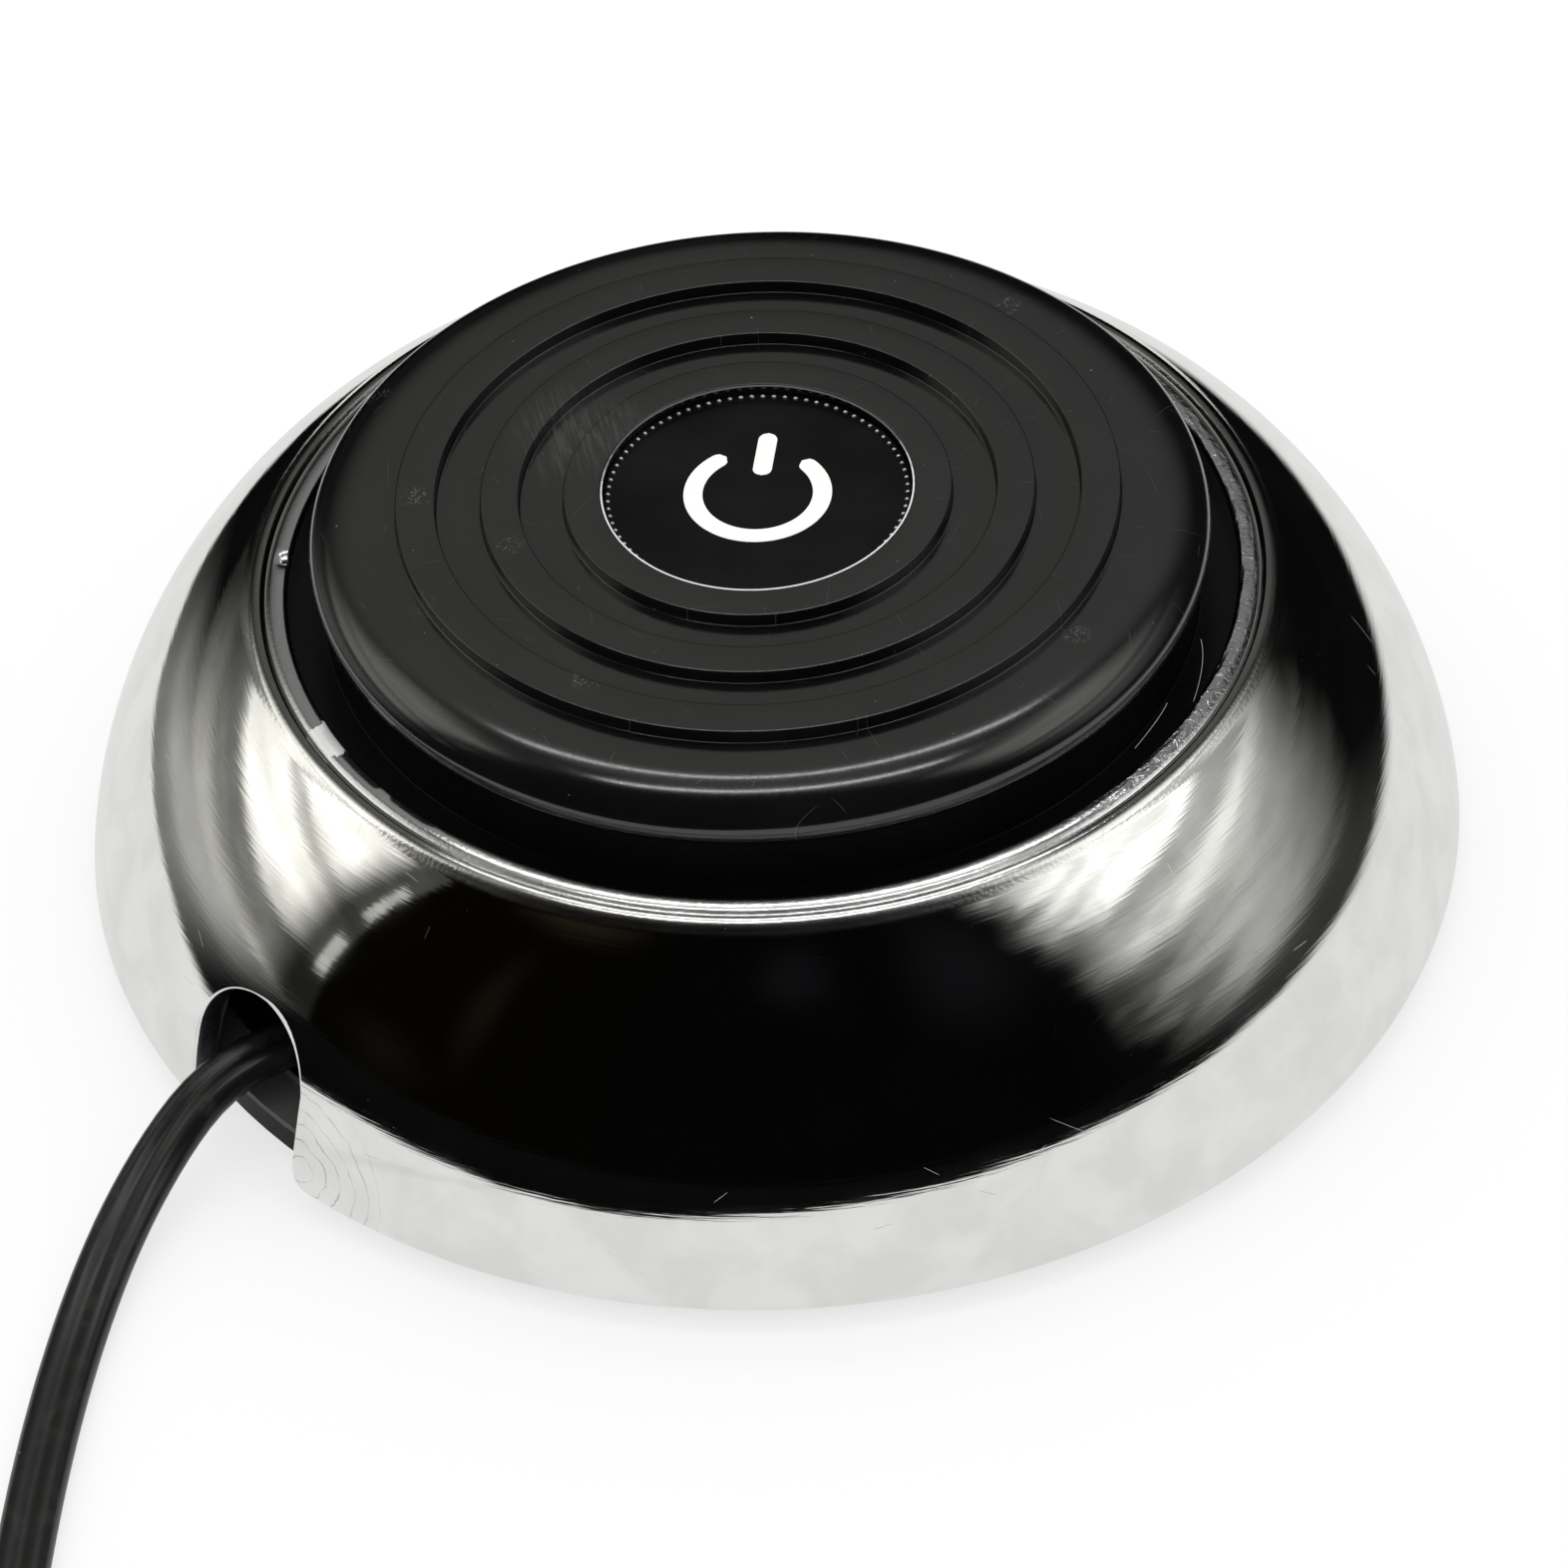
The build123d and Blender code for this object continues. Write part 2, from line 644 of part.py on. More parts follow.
with BuildPart() as clamp_screws:
    with BuildSketch(Plane.XY.offset(post_top + clamp_bar_t)):
        with Locations((clamp_x, -clamp_pitch / 2), (clamp_x, clamp_pitch / 2)):
            Circle(clamp_head_r)
    extrude(amount=clamp_head_t)
    with BuildSketch(Plane.XY.offset(post_top + clamp_bar_t)):
        with Locations((clamp_x, -clamp_pitch / 2), (clamp_x, clamp_pitch / 2)):
            Circle(clamp_screw_r)
    extrude(amount=-clamp_bar_t - clamp_screw_into)
    with BuildSketch(Plane.XY.offset(post_top + clamp_bar_t + clamp_head_t)):
        with Locations((clamp_x, -clamp_pitch / 2), (clamp_x, clamp_pitch / 2)):
            Rectangle(2 * clamp_head_r, slot_w)
    extrude(amount=-slot_d, mode=Mode.SUBTRACT)
clamp_screws.part.label = "clamp_screws"
export_step(clamp_screws.part, "parts/clamp_screws.step")


def arc_radii(points):
    """Radius of the arc at each inner point: as large as its two runs allow."""
    radii = []
    for before, here, after in zip(points, points[1:], points[2:]):
        run_in = Vector(*here) - Vector(*before)
        run_out = Vector(*after) - Vector(*here)
        half_turn = math.radians(run_in.get_angle(run_out)) / 2
        radii.append(0.45 * min(run_in.length, run_out.length) / math.tan(half_turn))
    return radii


# Cord: from inside the clamp, out through the notch, along the floor and into the coil
cord_radii = arc_radii(cord_out)
with BuildPart() as cord:
    with BuildLine() as cord_line:
        FilletPolyline(*cord_out, radius=cord_radii)
    start = cord_line.line @ 0
    along = cord_line.line % 0
    with BuildSketch(Plane(origin=start, x_dir=Vector(0, 0, 1).cross(along), z_dir=along)):
        SlotOverall(cord_w, cord_t)
    sweep()
cord.part.label = "cord"
export_step(cord.part, "parts/cord.step")

# Coil: the outer shape of the turns that lie on the floor
with BuildPart() as coil:
    with BuildSketch(Plane.XY):
        with Locations((coil_x, coil_y)):
            Circle(coil_mid_r + coil_half_w)
            Circle(coil_mid_r - coil_half_w, mode=Mode.SUBTRACT)
    extrude(amount=coil_h)
    fillet(coil.edges().group_by(Axis.Z)[-1], coil_round)
coil.part.label = "coil"
export_step(coil.part, "parts/coil.step")

# Tail: from the coil to the plug's boot
tail_radii = arc_radii(tail_out)
with BuildPart() as cord_tail:
    with BuildLine() as tail_line:
        FilletPolyline(*tail_out, radius=tail_radii)
    start = tail_line.line @ 0
    along = tail_line.line % 0
    with BuildSketch(Plane(origin=start, x_dir=Vector(0, 0, 1).cross(along), z_dir=along)):
        SlotOverall(cord_w, cord_t)
    sweep()
cord_tail.part.label = "cord_tail"
export_step(cord_tail.part, "parts/cord_tail.step")

# Cores: from the cord's inner end to the common and open terminals
core_z = switch_bottom - terminal_l / 2
core_x = cord_out[0][0]
common_face = terminal_x[0] - terminal_t / 2
open_face = terminal_x[1] - terminal_t / 2
core_side = terminal_w / 2 + core_r + 1.2
core_a_out = [
    (core_x, core_pitch / 2, cord_z),
    (core_x + 3.0, core_pitch / 2, cord_z),
    (core_x + 8.0, core_pitch / 2 + 0.8, cord_z + 0.8),
    (common_face - 3.0, 0.6, core_z),
    (common_face, 0.6, core_z),
]
core_b_out = [
    (core_x, -core_pitch / 2, cord_z),
    (core_x + 3.5, -core_pitch / 2, cord_z),
    (core_x + 9.0, -core_side + 0.4, cord_z + 0.6),
    (terminal_x[0], -core_side, core_z),
    (open_face - 3.0, -0.5, core_z),
    (open_face, -0.5, core_z),
]
core_paths = {"core_a": core_a_out, "core_b": core_b_out}
for name, points in core_paths.items():
    with BuildPart() as core:
        with BuildLine() as core_line:
            FilletPolyline(*points, radius=arc_radii(points))
        with BuildSketch(Plane(origin=core_line.line @ 0, z_dir=core_line.line % 0)):
            Circle(core_r)
        sweep()
    core.part.label = name
    export_step(core.part, f"parts/{name}.step")

# Plug, built along its own axis from the boot's back end
plug_start = Vector(*tail_out[-1])
plug_run = plug_start - Vector(*tail_out[-2])
plug_dir = Vector(plug_run.X, plug_run.Y, 0).normalized()
plug_plane = Plane(origin=plug_start, x_dir=plug_dir, z_dir=plug_dir.cross(Vector(0, 0, 1)))
handle_x = boot_l
sleeve_x = handle_x + handle_l
insulator_x = sleeve_x + sleeve_l
tip_x = insulator_x + insulator_l
plug_axis = Axis(plug_start, plug_dir)

with BuildPart() as plug_boot:
    with BuildSketch(plug_plane):
        with BuildLine():
            Polyline((0, 0), (0, boot_end_r), (boot_l, boot_r), (boot_l, 0), close=True)
        make_face()
    revolve(axis=plug_axis)
    groove_step = (boot_l - boot_groove_w) / (boot_groove_count + 1)
    with BuildSketch(plug_plane):
        for i in range(boot_groove_count):
            with Locations(((i + 1) * groove_step, boot_r)):
                Rectangle(boot_groove_w, 2 * (boot_r - boot_end_r + boot_groove_d) * (1 - i / boot_groove_count / 2))
    revolve(axis=plug_axis, mode=Mode.SUBTRACT)
plug_boot.part.label = "plug_boot"
export_step(plug_boot.part, "parts/plug_boot.step")

with BuildPart() as plug_handle:
    with BuildSketch(plug_plane):
        with BuildLine():
            Polyline(
                (handle_x, 0),
                (handle_x, handle_neck_r),
                (handle_x + handle_taper_l, handle_r),
                (sleeve_x, handle_r),
                (sleeve_x, 0),
                close=True,
            )
        make_face()
    revolve(axis=plug_axis)
plug_handle.part.label = "plug_handle"
export_step(plug_handle.part, "parts/plug_handle.step")

with BuildPart() as plug_sleeve:
    with BuildSketch(plug_plane):
        with BuildLine():
            Polyline((sleeve_x, 0), (sleeve_x, jack_r), (insulator_x, jack_r), (insulator_x, 0), close=True)
        make_face()
    revolve(axis=plug_axis)
plug_sleeve.part.label = "plug_sleeve"
export_step(plug_sleeve.part, "parts/plug_sleeve.step")

with BuildPart() as plug_insulator:
    with BuildSketch(plug_plane):
        with BuildLine():
            Polyline((insulator_x, 0), (insulator_x, insulator_r), (tip_x, insulator_r), (tip_x, 0), close=True)
        make_face()
    revolve(axis=plug_axis)
plug_insulator.part.label = "plug_insulator"
export_step(plug_insulator.part, "parts/plug_insulator.step")

# Tip: a neck behind a cone-backed head with a rounded point
with BuildPart() as plug_tip:
    with BuildSketch(plug_plane):
        with BuildLine():
            Polyline(
                (tip_x, 0),
                (tip_x, tip_r),
                (tip_x + 0.12 * tip_l, tip_r),
                (tip_x + 0.35 * tip_l, tip_neck_r),
                (tip_x + 0.6 * tip_l, tip_r - 0.1),
                (tip_x + tip_l - tip_end_r, tip_end_r),
            )
            RadiusArc((tip_x + tip_l - tip_end_r, tip_end_r), (tip_x + tip_l, 0), tip_end_r)
            Line((tip_x + tip_l, 0), (tip_x, 0))
        make_face()
    revolve(axis=plug_axis)
plug_tip.part.label = "plug_tip"
export_step(plug_tip.part, "parts/plug_tip.step")

# Printed for the record: arc radii, the tubes' volumes against section times length, and places
section = (cord_w - cord_t) * cord_t + math.pi * cord_t**2 / 4
cord_l = sum(e.length for e in cord_line.edges())
tail_l = sum(e.length for e in tail_line.edges())
print("cord radii", [round(r, 1) for r in cord_radii])
print("tail radii", [round(r, 1) for r in tail_radii])
print("cord volume", round(cord.part.volume, 1), "of", round(section * cord_l, 1))
print("tail volume", round(cord_tail.part.volume, 1), "of", round(section * tail_l, 1))
print("cord length", round(cord_l, 1), "tail length", round(tail_l, 1))
print("pivot", round(pivot_x, 3), round(pivot_z, 3), "ceiling", round(ceiling_z, 3))
print("sleeve mid", plug_start + plug_dir * (sleeve_x + sleeve_l / 2), "direction", plug_dir)
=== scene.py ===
"""Looks of a round foot switch: polished housing, stepped pedal, flat cord and jack plug.

Shapes are worked out in millimetres and become metres where they enter a mesh, in the frame of the
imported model: +Z up, the origin on the floor under the pedal's axis, the cord leaving towards -X.
"""

import logging
import math
from dataclasses import dataclass
from enum import Enum
from functools import reduce
from typing import Sequence

import bmesh
import bpy
import numpy as np
from mathutils import Matrix, Vector


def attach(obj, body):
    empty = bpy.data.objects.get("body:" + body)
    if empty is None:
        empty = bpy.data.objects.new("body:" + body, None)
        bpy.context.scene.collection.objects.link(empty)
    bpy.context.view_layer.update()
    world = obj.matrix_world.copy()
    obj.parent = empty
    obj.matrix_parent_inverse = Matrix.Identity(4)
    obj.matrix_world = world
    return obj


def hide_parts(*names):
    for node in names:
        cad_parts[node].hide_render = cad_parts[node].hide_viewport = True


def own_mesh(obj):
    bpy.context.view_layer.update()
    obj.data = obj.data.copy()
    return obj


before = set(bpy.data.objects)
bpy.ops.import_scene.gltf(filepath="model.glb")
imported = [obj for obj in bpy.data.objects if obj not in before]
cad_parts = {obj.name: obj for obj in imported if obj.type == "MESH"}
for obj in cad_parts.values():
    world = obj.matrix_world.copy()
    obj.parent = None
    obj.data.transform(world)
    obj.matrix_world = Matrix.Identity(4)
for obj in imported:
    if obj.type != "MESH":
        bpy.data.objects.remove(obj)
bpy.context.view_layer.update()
MM = 0.001
# Direction of the camera's side round Z, in degrees from +X
CAMERA_SIDE = -128.7
# Points nearer than this many millimetres become one
MERGE_GAP = 0.0004
# Share of a speck's radius or a scratch's length at which it starts to fade
SOFT_SHARE = 0.4
log = logging.getLogger("foot_switch")

Pair = tuple[float, float]
Triple = tuple[float, float, float]
Quad = tuple[float, float, float, float]
Color = Triple
Looks = Sequence[bpy.types.Material]
Inputs = dict[str | int, object]
Socket = bpy.types.NodeSocket

WHITE: Color = (1.0, 1.0, 1.0)
# Range in which nearly all of a noise's values lie
MIDDLE_NOISE: Pair = (0.3, 0.7)


class Body(Enum):
    """The CAD body that a piece rides on."""

    HOUSING = "housing_body"
    PEDAL = "pedal_body"


class MeshDraft:
    """Patches of one mesh, in millimetres, each a grid of points with the number of its finish."""

    def __init__(self) -> None:
        """Starts with no patch."""
        self.points: list[np.ndarray] = []
        self.faces: list[np.ndarray] = []
        self.finishes: list[np.ndarray] = []
        self.count = 0

    def add_grid(self, grid: np.ndarray, wrap: bool = False, finish: int = 0) -> None:
        """Adds a patch whose faces join each grid point to its neighbours in row and column.

        Args:
            grid: points, rows by columns by three.
            wrap: whether the last column joins the first.
            finish: number of the patch's finish.
        """
        rows, columns = grid.shape[:2]
        index = self.count + np.arange(rows * columns).reshape(rows, columns)
        near = index if wrap else index[:, :-1]
        far = np.roll(index, -1, axis=1) if wrap else index[:, 1:]
        quads = np.stack([near[:-1], far[:-1], far[1:], near[1:]], axis=-1).reshape(-1, 4)
        self.points.append(grid.reshape(-1, 3))
        self.faces.append(quads)
        self.finishes.append(np.full(len(quads), finish))
        self.count += rows * columns

    def build(self, name: str, finishes: Looks, sharp: float = 50.0) -> bpy.types.Object:
        """Makes the object, merges the patches' common points and turns the faces outwards.

        Args:
            name: the object's name.
            finishes: materials in the order of their numbers.
            sharp: angle in degrees past which an edge is shaded sharp.

        Returns:
            The new object, at the origin.
        """
        points = np.concatenate(self.points) * MM
        faces = np.concatenate(self.faces)
        mesh = bpy.data.meshes.new(name)
        mesh.vertices.add(len(points))
        mesh.vertices.foreach_set("co", points.ravel())
        mesh.loops.add(faces.size)
        mesh.loops.foreach_set("vertex_index", faces.ravel())
        mesh.polygons.add(len(faces))
        mesh.polygons.foreach_set("loop_start", np.arange(0, faces.size, 4))
        mesh.polygons.foreach_set("material_index", np.concatenate(self.finishes))
        mesh.polygons.foreach_set("use_smooth", np.ones(len(faces), bool))
        for material in finishes:
            mesh.materials.append(material)
        mesh.update(calc_edges=True)
        work = bmesh.new()
        work.from_mesh(mesh)
        bmesh.ops.remove_doubles(work, verts=work.verts, dist=MERGE_GAP * MM)
        bmesh.ops.recalc_face_normals(work, faces=work.faces)
        work.to_mesh(mesh)
        work.free()
        mesh.set_sharp_from_angle(angle=math.radians(sharp))
        piece = bpy.data.objects.new(name, mesh)
        bpy.context.scene.collection.objects.link(piece)
        return piece


def place(piece: bpy.types.Object, body: Body, slot: str, *nodes: str) -> None:
    """Lets a piece ride on its body and stand for CAD nodes.

    Args:
        piece: the new piece.
        body: the body it moves with.
        slot: not used. the record's material slot.
        *nodes: CAD nodes that it replaces, if any.
    """
    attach(piece, body.value)
    if nodes:
        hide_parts(*nodes)
    log.info("%s rides on %s, %d faces", piece.name, body.value, len(piece.data.polygons))


def unit(rows: np.ndarray) -> np.ndarray:
    """Directions, one row each, brought to length 1."""
    return rows / np.linalg.norm(rows, axis=1)[:, None]


def run_length(line: np.ndarray) -> np.ndarray:
    """Distance along a line at each of its points."""
    return np.concatenate([[0.0], np.cumsum(np.linalg.norm(np.diff(line, axis=0), axis=1))])


def spread(line: np.ndarray, count: int) -> np.ndarray:
    """Points at even distances along a line.

    Args:
        line: its corners, one row each.
        count: how many points.

    Returns:
        The new points, with both ends.
    """
    along = run_length(line)
    marks = np.linspace(0.0, along[-1], count)
    return np.stack([np.interp(marks, along, column) for column in line.T], axis=1)


def soften(points: Sequence[Pair], step: float, radius: float) -> np.ndarray:
    """Resamples an open outline evenly and rounds its corners, with its two ends kept.

    Each new point is the mean of its neighbours along the outline, weighted by a bell curve.

    Args:
        points: corners of the outline.
        step: distance between the new points.
        radius: standard deviation of the bell curve, about the radius of the rounded corners.

    Returns:
        The new points, one row each.
    """
    corners = np.asarray(points, float)
    line = spread(corners, int(run_length(corners)[-1] / step) + 1)
    reach = int(3 * radius / step) + 1
    weights = np.exp(-0.5 * (np.arange(-reach, reach + 1) * step / radius) ** 2)
    before = 2 * line[0] - line[reach:0:-1]
    after = 2 * line[-1] - line[-2 : -reach - 2 : -1]
    padded = np.concatenate([before, line, after])
    weights /= weights.sum()
    return np.stack([np.convolve(column, weights, "valid") for column in padded.T], axis=1)


def thin(line: np.ndarray, turn: float = 7.0, gap: float = 1.2) -> np.ndarray:
    """Keeps fewer points of a fine outline: one each time it has turned or run far enough.

    Args:
        line: the outline's points.
        turn: degrees of turning between kept points.
        gap: distance between kept points where the outline is straight.

    Returns:
        The kept points, with both ends.
    """
    leg = np.diff(line, axis=0)
    heading = np.unwrap(np.arctan2(leg[:, 1], leg[:, 0]))
    turned = np.degrees(np.abs(np.diff(heading, prepend=heading[0])))
    measure = np.concatenate([[0.0], np.cumsum(np.hypot(leg[:, 0], leg[:, 1]) / gap + turned / turn)])
    marks = np.linspace(0.0, measure[-1], int(measure[-1]) + 2)
    return line[np.unique(np.searchsorted(measure, marks).clip(0, len(line) - 1))]


def revolve(outline: np.ndarray, columns: int, center: Pair = (0.0, 0.0)) -> np.ndarray:
    """Grid of an outline turned round a vertical axis.

    Point (i, j) has the outline's i-th radius and height at j whole parts of a turn.

    Args:
        outline: radius and height, one row each.
        columns: points in a turn.
        center: place of the axis.

    Returns:
        Points, rows by columns by three.
    """
    turn = np.linspace(0.0, 2 * math.pi, columns, endpoint=False)
    x = center[0] + outline[:, :1] * np.cos(turn)
    y = center[1] + outline[:, :1] * np.sin(turn)
    return np.stack([x, y, np.broadcast_to(outline[:, 1:], x.shape)], axis=-1)


def smooth_step(value: np.ndarray, low: float, high: float) -> np.ndarray:
    """Rises from 0 at low to 1 at high, level at both ends: 3 t squared less 2 t cubed."""
    t = np.clip((value - low) / (high - low), 0.0, 1.0)
    return t * t * (3 - 2 * t)


def plateau(value: np.ndarray, rise: Pair, fall: Pair) -> np.ndarray:
    """1 between a smooth rise and a smooth fall, and 0 outside them."""
    return smooth_step(value, *rise) * (1 - smooth_step(value, *fall))


def bell(value: np.ndarray, middle: float, width: float) -> np.ndarray:
    """Bell curve of height 1 round a middle: e to the minus half the squared distance in widths."""
    return np.exp(-0.5 * ((value - middle) / width) ** 2)


class Graph:
    """Short calls that build a node tree from left to right."""

    def __init__(self, tree: bpy.types.NodeTree) -> None:
        """Empties a node tree and keeps it."""
        self.tree = tree
        tree.nodes.clear()

    def node(self, kind: str, inputs: Inputs | None = None, **settings: object) -> bpy.types.Node:
        """Adds a node.

        Args:
            kind: the node's type name.
            inputs: values or sockets for its inputs, by name or number.
            **settings: the node's own properties.

        Returns:
            The node.
        """
        item = self.tree.nodes.new(kind)
        for key, value in settings.items():
            setattr(item, key, value)
        for key, value in (inputs or {}).items():
            if isinstance(value, Socket):
                self.tree.links.new(value, item.inputs[key])
            else:
                item.inputs[key].default_value = value
        return item

    def math(self, operation: str, first: object, second: object = 0.0) -> Socket:
        """One operation on one or two numbers."""
        return self.node("ShaderNodeMath", {0: first, 1: second}, operation=operation).outputs[0]

    def times(self, *factors: object) -> Socket:
        """Product of two or more numbers."""
        return reduce(lambda first, second: self.math("MULTIPLY", first, second), factors)

    def plus(self, *terms: object) -> Socket:
        """Sum of two or more numbers."""
        return reduce(lambda first, second: self.math("ADD", first, second), terms)

    def minus(self, first: object, second: object) -> Socket:
        """A number less another."""
        return self.math("SUBTRACT", first, second)

    def most(self, *values: object) -> Socket:
        """The greatest of two or more numbers."""
        return reduce(lambda first, second: self.math("MAXIMUM", first, second), values)

    def size(self, value: object) -> Socket:
        """A number without its sign."""
        return self.math("ABSOLUTE", value)

    def gap(self, first: object, second: object) -> Socket:
        """How far two numbers are apart."""
        return self.size(self.minus(first, second))

    def vector(self, operation: str, first: object, second: object = (0.0, 0.0, 0.0)) -> Socket:
        """One operation on two vectors."""
        return self.node("ShaderNodeVectorMath", {0: first, 1: second}, operation=operation).outputs[0]

    def measure(self, operation: str, first: object, second: object = (0.0, 0.0, 0.0)) -> Socket:
        """One operation on two vectors that gives a number."""
        item = self.node("ShaderNodeVectorMath", {0: first, 1: second}, operation=operation)
        return item.outputs["Value"]

    def parts(self, vector: Socket) -> Sequence[Socket]:
        """The three parts of a vector."""
        return self.node("ShaderNodeSeparateXYZ", {0: vector}).outputs

    def joined(self, x: object = 0.0, y: object = 0.0, z: object = 0.0) -> Socket:
        """A vector of three parts."""
        return self.node("ShaderNodeCombineXYZ", {0: x, 1: y, 2: z}).outputs[0]

    def millimetres(self) -> Socket:
        """The object's own coordinates in millimetres."""
        at = self.node("ShaderNodeTexCoord").outputs["Object"]
        return self.vector("MULTIPLY", at, (1 / MM, 1 / MM, 1 / MM))

    def from_camera(self, vector: Socket) -> Socket:
        """A vector turned round Z, so that +X is the camera's side."""
        inputs = {"Vector": vector, "Angle": math.radians(-CAMERA_SIDE)}
        return self.node("ShaderNodeVectorRotate", inputs, rotation_type="Z_AXIS").outputs[0]

    def degrees_round(self, x: Socket, y: Socket) -> Socket:
        """Angle of a direction round Z in degrees."""
        return self.times(self.math("ARCTAN2", y, x), 180.0 / math.pi)

    def noise(self, point: Socket, scale: float, detail: float = 2.0, distortion: float = 0.0) -> Socket:
        """Smooth random height from 0 to 1."""
        inputs = {"Vector": point, "Scale": scale, "Detail": detail, "Distortion": distortion}
        return self.node("ShaderNodeTexNoise", inputs).outputs[0]

    def step(self, value: object, low: float, high: float, start: float = 0.0, end: float = 1.0) -> Socket:
        """Goes smoothly from start at low to end at high."""
        inputs = {0: value, 1: low, 2: high, 3: start, 4: end}
        return self.node("ShaderNodeMapRange", inputs, interpolation_type="SMOOTHSTEP").outputs[0]

    def fall(self, value: object, low: float, high: float) -> Socket:
        """Goes smoothly from 1 at low to 0 at high."""
        return self.step(value, low, high, 1.0, 0.0)

    def band(self, value: object, low: float, high: float, soft: float) -> Socket:
        """1 between low and high, 0 outside, with soft flanks of that width."""
        rise = self.step(value, low - soft / 2, low + soft / 2)
        return self.times(rise, self.fall(value, high - soft / 2, high + soft / 2))

    def profile(self, value: object, start: float, rises: Sequence[Triple]) -> Socket:
        """A value that starts level and goes smoothly to a new level at each place.

        Args:
            value: where on the profile.
            start: level before the first place.
            rises: place, width of the passage and new level, one after the other.

        Returns:
            The level.
        """
        total: Socket | float = start
        before = start
        for middle, width, level in rises:
            change = self.step(value, middle - width / 2, middle + width / 2, 0.0, level - before)
            total = self.plus(change, total)
            before = level
        return total

    def mix(self, share: object, first: object, second: object) -> Socket:
        """Mixes two colours.

        Args:
            share: the second colour's share.
            first: a socket or a colour.
            second: a socket or a colour.

        Returns:
            The mixed colour.
        """
        mixer = self.node("ShaderNodeMix", {0: share}, data_type="RGBA")
        for socket, value in ((mixer.inputs[6], first), (mixer.inputs[7], second)):
            if isinstance(value, Socket):
                self.tree.links.new(value, socket)
            else:
                socket.default_value = (*value, 1.0)
        return mixer.outputs[2]

    def blend(self, share: object, first: Socket, second: Socket) -> Socket:
        """Mixes two shaders."""
        return self.node("ShaderNodeMixShader", {0: share, 1: first, 2: second}).outputs[0]

    def light(self, kind: str, color: object, strength: object) -> Socket:
        """A shader that gives light: Emission for a surface and Background for a world."""
        paint = color if isinstance(color, Socket) else (*color, 1.0)
        return self.node(f"ShaderNode{kind}", {"Color": paint, "Strength": strength}).outputs[0]

    def shifted(self, value: Socket, noise: Socket, most: float) -> Socket:
        """A value moved up or down by a noise, by up to half the given amount."""
        return self.plus(value, self.times(self.minus(noise, 0.5), most))

    def bump(self, height: Socket, depth: float, normal: Socket | None = None) -> Socket:
        """Surface normal over a height map.

        Args:
            height: the height, in parts of the depth.
            depth: depth in millimetres.
            normal: a normal that it adds to, if any.

        Returns:
            The bent normal.
        """
        inputs: Inputs = {"Strength": 1.0, "Distance": depth * MM, "Height": height}
        if normal is not None:
            inputs["Normal"] = normal
        return self.node("ShaderNodeBump", inputs).outputs[0]

    def specks(self, point: Socket, scale: float, share: float, size: float) -> Socket:
        """Sparse round specks: cells of a Voronoi pattern, of which only some hold a speck.

        Args:
            point: pattern coordinates.
            scale: cells in one unit of those coordinates.
            share: share of the cells that hold a speck.
            size: radius of a speck in parts of a cell.

        Returns:
            1 in a speck and 0 elsewhere.
        """
        cell = self.node("ShaderNodeTexVoronoi", {"Vector": point, "Scale": scale})
        chosen = self.parts(cell.outputs["Color"])[0]
        picked = self.math("LESS_THAN", chosen, share)
        return self.times(picked, self.fall(cell.outputs["Distance"], size * SOFT_SHARE, size))

    def scratches(self, flat: Socket, cell: float, share: float, length: float, width: float) -> Socket:
        """Short straight scratches: some cells of a flat pattern hold one, each in its own direction.

        A point is on the scratch where its offset from the cell's middle has a small part across the
        cell's direction and a part along it shorter than the scratch.

        Args:
            flat: pattern coordinates in millimetres, of which the first two count.
            cell: size of a cell in millimetres.
            share: share of the cells that hold a scratch.
            length: half the length of a scratch in millimetres.
            width: half the width of a scratch in millimetres.

        Returns:
            1 on a scratch and 0 elsewhere.
        """
        cells = self.vector("MULTIPLY", flat, (1.0 / cell, 1.0 / cell, 0.0))
        inputs = {"Vector": cells, "Scale": 1.0}
        pattern = self.node("ShaderNodeTexVoronoi", inputs, voronoi_dimensions="2D")
        off = self.vector("SUBTRACT", cells, pattern.outputs["Position"])
        chance = self.parts(pattern.outputs["Color"])
        angle = self.times(chance[1], 2 * math.pi)
        run = self.joined(self.math("COSINE", angle), self.math("SINE", angle))
        aside = self.measure("LENGTH", self.vector("CROSS_PRODUCT", off, run))
        across = self.fall(aside, 0.0, width / cell)
        reach = self.size(self.measure("DOT_PRODUCT", off, run))
        along = self.fall(reach, length / cell * SOFT_SHARE, length / cell)
        return self.times(self.math("LESS_THAN", chance[0], share), across, along)

    def all_specks(self, point: Socket, kinds: Sequence[Triple]) -> Socket:
        """Specks of several kinds, each with its scale, share and size."""
        return self.most(*[self.specks(point, *kind) for kind in kinds])

    def all_scratches(self, flat: Socket, kinds: Sequence[Quad]) -> Socket:
        """Scratches of several kinds, each with its cell, share, half length and half width."""
        return self.most(*[self.scratches(flat, *kind) for kind in kinds])

    def glow(self, at: Socket, middle: Pair, size: Pair, strength: float) -> Socket:
        """Soft oval spot: the strength at its middle, nothing beyond its half width and half height.

        Args:
            at: coordinates, of which the first two count.
            middle: the spot's middle.
            size: its half width and half height.
            strength: its value in the middle.

        Returns:
            The spot's value.
        """
        off = self.vector("SUBTRACT", at, (*middle, 0.0))
        scaled = self.vector("MULTIPLY", off, (1 / size[0], 1 / size[1], 0.0))
        return self.step(self.measure("LENGTH", scaled), 0.0, 1.0, strength, 0.0)


